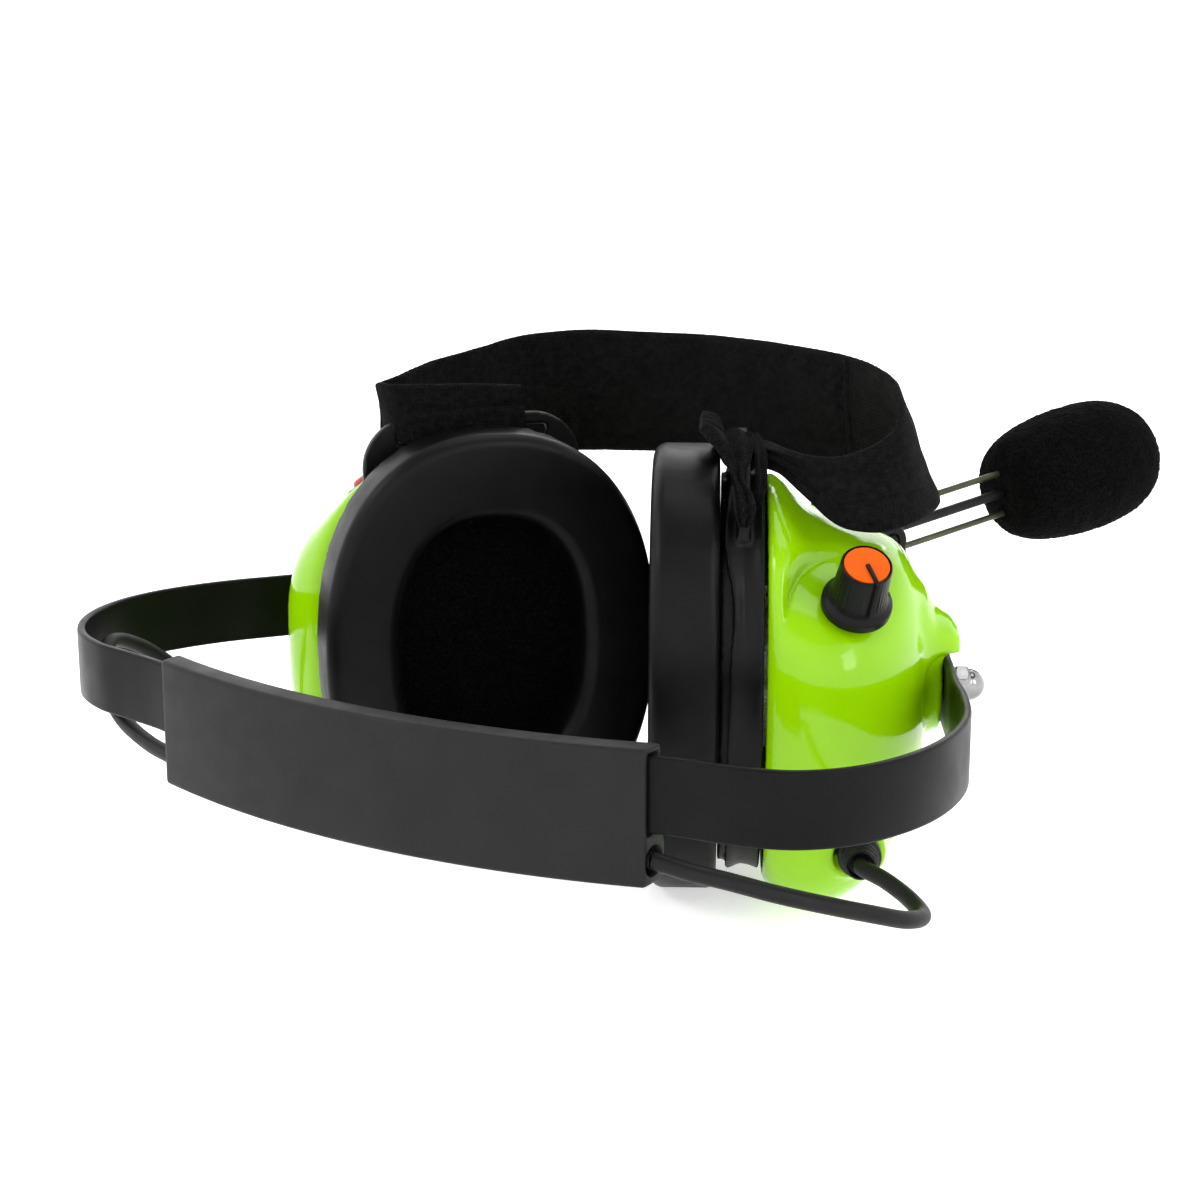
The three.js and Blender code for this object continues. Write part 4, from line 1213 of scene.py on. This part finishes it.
def make_sleeve_cable():
    """The cable's hidden run through the sleeve."""
    reach = math.asin((SLEEVE["half_length"] - 0.8) / (SLEEVE["radius"] - CABLE["inset"]))
    spot = np.array([[CABLE["inset"], CABLE["level"]]])
    line = np.concatenate([on_sleeve(spot, a) for a in np.linspace(-reach, reach, 60)])
    shape = sweep(line, CABLE["radius"])
    stand_in("sleeve_cord", shape, "cable_rubber", "neckband", "sleeve_cable", 60)


# Head strap


class Strap:
    """The strap's surface between its two edge curves."""

    STATIONS = 1400

    def __init__(self, top, low):
        self.top = smooth(top, self.STATIONS)
        self.low = smooth(low, self.STATIONS)
        self.last = len(top) - 1
        self.index = np.arange(self.STATIONS)
        middle = (self.top + self.low) / 2
        self.along = lengths(middle)
        across = self.top - self.low
        across /= np.linalg.norm(across, axis=1)[:, None]
        ahead = headings(middle)
        self.normal = np.cross(ahead, across)
        self.normal /= np.linalg.norm(self.normal, axis=1)[:, None]

    def station(self, knot):
        return knot / self.last * (self.STATIONS - 1)

    def span(self, knots):
        """The lengths along the strap at some knots."""
        return [float(np.interp(self.station(k), self.index, self.along)) for k in knots]

    def at(self, stations):
        """Edges, normal and length along the strap at fractional stations."""

        def between(values):
            return np.stack([np.interp(stations, self.index, values[:, k]) for k in range(3)], axis=1)

        length = np.interp(stations, self.index, self.along)
        return between(self.top), between(self.low), between(self.normal), length

    def piece(self, name, knots, step, thickness, relief, look=None, rows=40):
        """A closed strip between two knots. relief() gives a share of the thickness and a lift across it."""
        start, end = (self.station(k) for k in knots)
        first, last = self.span(knots)
        count = int((last - first) / step) + 2
        top, low, normal, length = self.at(np.linspace(start, end, count))
        width = np.linalg.norm(top - low, axis=1)
        side = np.linspace(0, 1, rows)
        rings, marks = [], []
        for k in range(count):
            share, lift = relief(length[k], side, width[k])
            middle = low[k] + (top[k] - low[k]) * side[:, None] + normal[k] * lift[:, None]
            half = thickness / 2 * share * np.sqrt(np.clip(1 - np.abs(2 * side - 1) ** 24, 0.02, 1))
            front, back = middle + normal[k] * half[:, None], middle - normal[k] * half[:, None]
            rings.append(np.concatenate([front, back[::-1]]))
            across = side * width[k]
            both = np.concatenate([across, across[::-1]])
            marks.append(np.column_stack([np.full(2 * rows, length[k]), both]))
        made = finished(name, loft(rings), "webbing", crease=80, look=look)
        paint_uv(made, np.concatenate(marks) * MM)
        return made


def paint_uv(piece, places):
    """Gives each point its place on the strap in metres."""
    mesh = piece.data
    layer = mesh.uv_layers.new(name="weave")
    index = np.zeros(len(mesh.loops), np.int32)
    mesh.loops.foreach_get("vertex_index", index)
    layer.data.foreach_set("uv", places[index].astype(np.float32).ravel())


def edge_teeth(length, side):
    """The overlocked edge: small regular steps along both edges."""
    near = np.clip(1 - np.minimum(side, 1 - side) * 30, 0, 1)
    return 0.16 * near * math.sin(2 * math.pi * length / 1.9)


def ripples(length, side, width, size):
    """Slow waves in the cloth, the same on both sides of a seam between pieces."""
    places = [Vector((length / 19, s * width / 13, 0.0)) for s in side]
    return size * np.array([noise.noise(p) + 0.4 * noise.noise(p * 2.7) for p in places])


def plain_relief(length, side, width):
    return np.ones(len(side)), ripples(length, side, width, 0.9) + edge_teeth(length, side)


def pad_relief(strap, knots):
    """A padded panel: full in the middle, drawn in along its stitched border."""
    first, last = strap.span(knots)

    def relief(length, side, width):
        edge = np.minimum(side, 1 - side) * width
        end = min(length - first, last - length)
        border = np.minimum(edge, end)
        fill = np.clip(border / 6, 0, 1)
        groove = np.exp(-(((edge - 3.2) / 0.6) ** 2)) * (1 if end > 3 else 0)
        seam = math.exp(-(((end - 3.5) / 0.7) ** 2))
        pucker = 0.35 * math.exp(-(((end - 6) / 4) ** 2)) * np.sin(side * width * 1.25 + 0.6 * np.sin(length))
        share = 0.8 + 0.5 * fill**0.6 - 0.28 * groove - 0.35 * seam
        return share, ripples(length, side, width, 0.9) + edge_teeth(length, side) + pucker

    return relief, first, last


def tail_relief(strap, knots):
    """The end gathers into pleats towards the slot."""
    first, last = strap.span(knots)

    def relief(length, side, width):
        gathered = np.clip((length - first) / (last - first), 0, 1) ** 2.2
        pleats = gathered * 1.15 * np.sin(side * 2 * math.pi * 3.2 + 0.8)
        return np.ones(len(side)) * (1 - 0.25 * gathered), ripples(length, side, width, 0.9) + pleats

    return relief


def stitch(middle, along, out, size=1.9, radius=0.24):
    """One short raised stitch as points and faces."""
    side = np.cross(along, out)
    rings = []
    for share, fat in ((-0.5, 0.25), (-0.42, 0.7), (-0.2, 1), (0.2, 1), (0.42, 0.7), (0.5, 0.25)):
        rings.append(middle + along * share * size + out * radius * 0.3 + radius * fat * spokes(side, out, 6))
    return loft(rings)


def make_stitches(strap, relief, first, last):
    """Rows of stitches round the pad's border, on both faces."""
    spots = []
    for length in np.arange(first + 4, last - 4, 2.7):
        spots += [(length, 3.2, "edge"), (length, -3.2, "edge")]
    for length in (first + 3.5, last - 3.5):
        spots += [(length, across, "end") for across in np.arange(3.4, 30, 2.7)]
    all_points, all_faces, start = [], [], 0
    for length, across, kind in spots:
        station = np.interp(length, strap.along, strap.index)
        top, low, normal, _ = strap.at(np.array([station]))
        ahead = strap.at(np.array([station + 4]))[0][0] - top[0]
        ahead /= np.linalg.norm(ahead)
        up = top[0] - low[0]
        width = np.linalg.norm(up)
        if kind == "end" and across > width - 3:
            continue
        place = across / width if across > 0 else 1 + across / width
        share, lift = relief(length, np.array([place]), width)
        for face in (1, -1):
            middle = low[0] + up * place + normal[0] * (lift[0] + face * 1.2 * share[0])
            points, faces = stitch(middle, ahead if kind == "edge" else up / width, normal[0] * face)
            all_points.append(points)
            all_faces += [tuple(start + i for i in f) for f in faces]
            start += len(points)
    piece = finished("strap_stitches", (np.concatenate(all_points), all_faces), "webbing", crease=60)
    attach(piece, "neckband")


def make_strap():
    strap = Strap(STRAP_TOP, STRAP_LOW)

    def middle(knot):
        top, low, _, _ = strap.at(np.array([strap.station(knot)]))
        return in_frame((top[0] + low[0]) / 2)

    relief, first, last = pad_relief(strap, (4, 9))
    pad = strap.piece("strap_middle_pad", (4, 9), 1.1, 2.4, relief, look="pad")
    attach(pad, "neckband")
    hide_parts("strap_pad")
    make_stitches(strap, relief, first, last)
    left = strap.piece("strap_left_layer", (0, 4), 0.9, 1.9, plain_relief)
    middle(0)
    middle(3.9)
    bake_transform(left)
    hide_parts("strap_left")
    right = strap.piece("strap_right_layer", (9, 13), 0.9, 1.9, plain_relief)
    middle(9.1)
    middle(13)
    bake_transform(right)
    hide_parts("strap_right")
    tail = strap.piece("strap_right_end", (13, 18), 0.8, 1.9, tail_relief(strap, (13, 18)))
    middle(13)
    middle(15)
    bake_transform(tail)
    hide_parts("strap_right_tail")
    make_tab_band()
    make_gather()


def make_tab_band():
    """The hook-and-loop end: folded through the left tab, its lower half ribbed."""
    top = [
        (18.3, -12, 64.6), (18.2, 2, 65.6), (18.4, 15, 66), (20.6, 21.3, 66), (26, 23.4, 65.8),
        (31, 21.5, 65),
    ]
    low = [
        (18.4, -13.5, 53.2), (18.2, 2, 51.8), (18.4, 14, 50.6), (20.4, 18.6, 50.8), (25.5, 20.5, 51.5),
        (31, 20.5, 52),
    ]
    band = Strap(LEFT.place(top), LEFT.place(low))

    def relief(length, side, width):
        ribbed = np.clip((0.54 - side) * 14, 0, 1) * (1 if length < 30 else 0)
        ribs = 0.14 * ribbed * math.sin(2 * math.pi * length / 1.3)
        seam = 0.8 * np.exp(-(((side - 0.56) * width / 0.7) ** 2)) * (1 if length < 30 else 0)
        return 1 + 0.25 * ribbed, ribs + seam + ripples(length, side, width, 0.5)

    piece = band.piece("strap_left_end", (0, 5), 0.35, 2, relief, rows=44)
    start, end = (in_frame(LEFT.place(place)) for place in ((18.3, 16, 60), (31, 22, 60)))
    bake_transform(piece)
    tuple(start)
    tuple(end)
    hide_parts("strap_left_tab")


# Cloth bunched round the right tab, as two edges in the cup's frame
GATHER_END = (
    [
        (27, 0.5, 54.8), (22.4, -1.5, 52.1), (18.8, -3, 53.2), (16.9, -5, 57), (14.6, -8, 60.3),
        (11.6, -9, 61.6),
    ],
    [
        (27, 5, 54.8), (22.4, 7, 52.1), (18.8, 8.5, 53.4), (17, 12, 57.4), (14.6, 15, 60.9),
        (11.6, 17.5, 62.2),
    ],
)
GATHER_EDGE = (
    [
        (11.6, 18.5, 62.6), (14.2, 22, 60.4), (17.2, 25, 56.6), (19, 27.5, 53), (19.6, 30, 49.5),
        (19.8, 31.8, 46), (20.6, 32, 42.5),
    ],
    [
        (23.8, 18.5, 62), (24, 22.5, 59.8), (23.2, 25.5, 56.4), (21.8, 27.8, 53), (24, 30, 49.5),
        (24.6, 31.6, 46), (23, 32, 42.2),
    ],
)
GATHER_BACK = (
    [(23.3, 1, 58.8), (24.6, 7, 57.6), (24.7, 14, 54.3), (24.5, 21, 50.5), (24.1, 26.5, 46)],
    [(26.5, 1, 57.2), (27.8, 7, 55.6), (27.7, 14, 52.3), (26.9, 21, 48.7), (25, 26.5, 45.2)],
)


def make_gather():
    """The strap's end, pulled through the right tab's slot and bunched round the tab."""
    for name, edges, pleats, depth in (
        ("strap_right_gather", GATHER_END, 3.4, 0.7),
        ("strap_right_wrap", GATHER_EDGE, 2.2, 0.55),
        ("strap_right_fold", GATHER_BACK, 1.5, 0.5),
    ):
        cloth = Strap(*(RIGHT.place(edge) for edge in edges))

        def relief(length, side, width):
            fold = depth * np.sin(side * 2 * math.pi * pleats + 0.12 * length)
            return np.ones(len(side)), fold + ripples(length, side, width, 0.9)

        piece = cloth.piece(name, (0, cloth.last), 0.4, 1.7, relief, rows=44)
        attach(piece, "right_cup")


# Stage and lights


def make_stage():
    """A pale round cove: a flat floor that curves up into a wall."""
    floor_reach, bend, wall_height = 1.2, 0.7, 2.4
    profile = [(0.001, 0), (floor_reach, 0)]
    for a in np.linspace(0, math.pi / 2, 17)[1:]:
        profile.append((floor_reach + bend * math.sin(a), bend * (1 - math.cos(a))))
    profile.append((floor_reach + bend, wall_height))
    round_floor = spokes(np.array([1, 0, 0]), np.array([0, 1, 0]), 96)
    points = np.concatenate([r * round_floor + np.array([0, 0, h]) for r, h in profile])
    mesh = bpy.data.meshes.new("stage")
    mesh.from_pydata(points.tolist(), [], ring_faces(len(profile), 96) + [tuple(range(96))])
    mesh.shade_smooth()
    mesh.materials.append(stage_look().material)
    cove = bpy.data.objects.new("stage", mesh)
    bpy.context.scene.collection.objects.link(cove)


def make_light(name, place, size, energy):
    light = bpy.data.lights.new(name, "AREA")
    light.shape = "RECTANGLE"
    light.size, light.size_y = size
    light.energy = energy
    lamp = bpy.data.objects.new(name, light)
    lamp.location = place
    lamp.rotation_mode = "QUATERNION"
    lamp.rotation_quaternion = (Vector((0, 0, 0.06)) - Vector(place)).to_track_quat("-Z", "Y")
    bpy.context.scene.collection.objects.link(lamp)


def make_lights():
    make_light("key", (-0.75, -0.9, 1.15), (0.55, 0.4), 5)
    make_light("top", (0.15, 0.2, 1.5), (0.9, 0.9), 6)
    make_light("side", (1.25, -0.35, 0.75), (0.35, 0.6), 3)
    make_light("back", (-0.4, 1.3, 0.9), (0.6, 0.5), 2.5)
    world = bpy.data.worlds.new("studio")
    world.use_nodes = True
    world.node_tree.nodes["Background"].inputs["Color"].default_value = (1, 1, 1, 1)
    world.node_tree.nodes["Background"].inputs["Strength"].default_value = 0.35
    bpy.context.scene.world = world
    bpy.context.scene.view_settings.view_transform = "Standard"


def dress_cad_nodes():
    """Puts a procedural finish on each CAD node that still shows."""
    slots = {row["node"]: row["material_slot"] for row in frame["record"]["subparts"]}
    for name, node in frame["nodes"].items():
        if node.hide_render:
            continue
        material = LOOKS[slots[name]].material
        if not node.material_slots:
            node.data.materials.append(material)
        for place in node.material_slots:
            place.material = material


make_camera()
make_cable(RIGHT, CABLE_RIGHT)
make_cable(LEFT, CABLE_LEFT)
make_sleeve_cable()
make_sleeve()
make_arm(RIGHT, ARM_RIGHT)
make_arm(LEFT, ARM_LEFT)
for each in (RIGHT, LEFT):
    make_common(each)
make_shell(RIGHT, right_pads, right_bores, knob_facet)
make_shell(LEFT, left_pads, left_bores)
make_knob()
make_talk()
make_socket()
make_boom()
make_strap()
make_stage()
make_lights()
dress_cad_nodes()
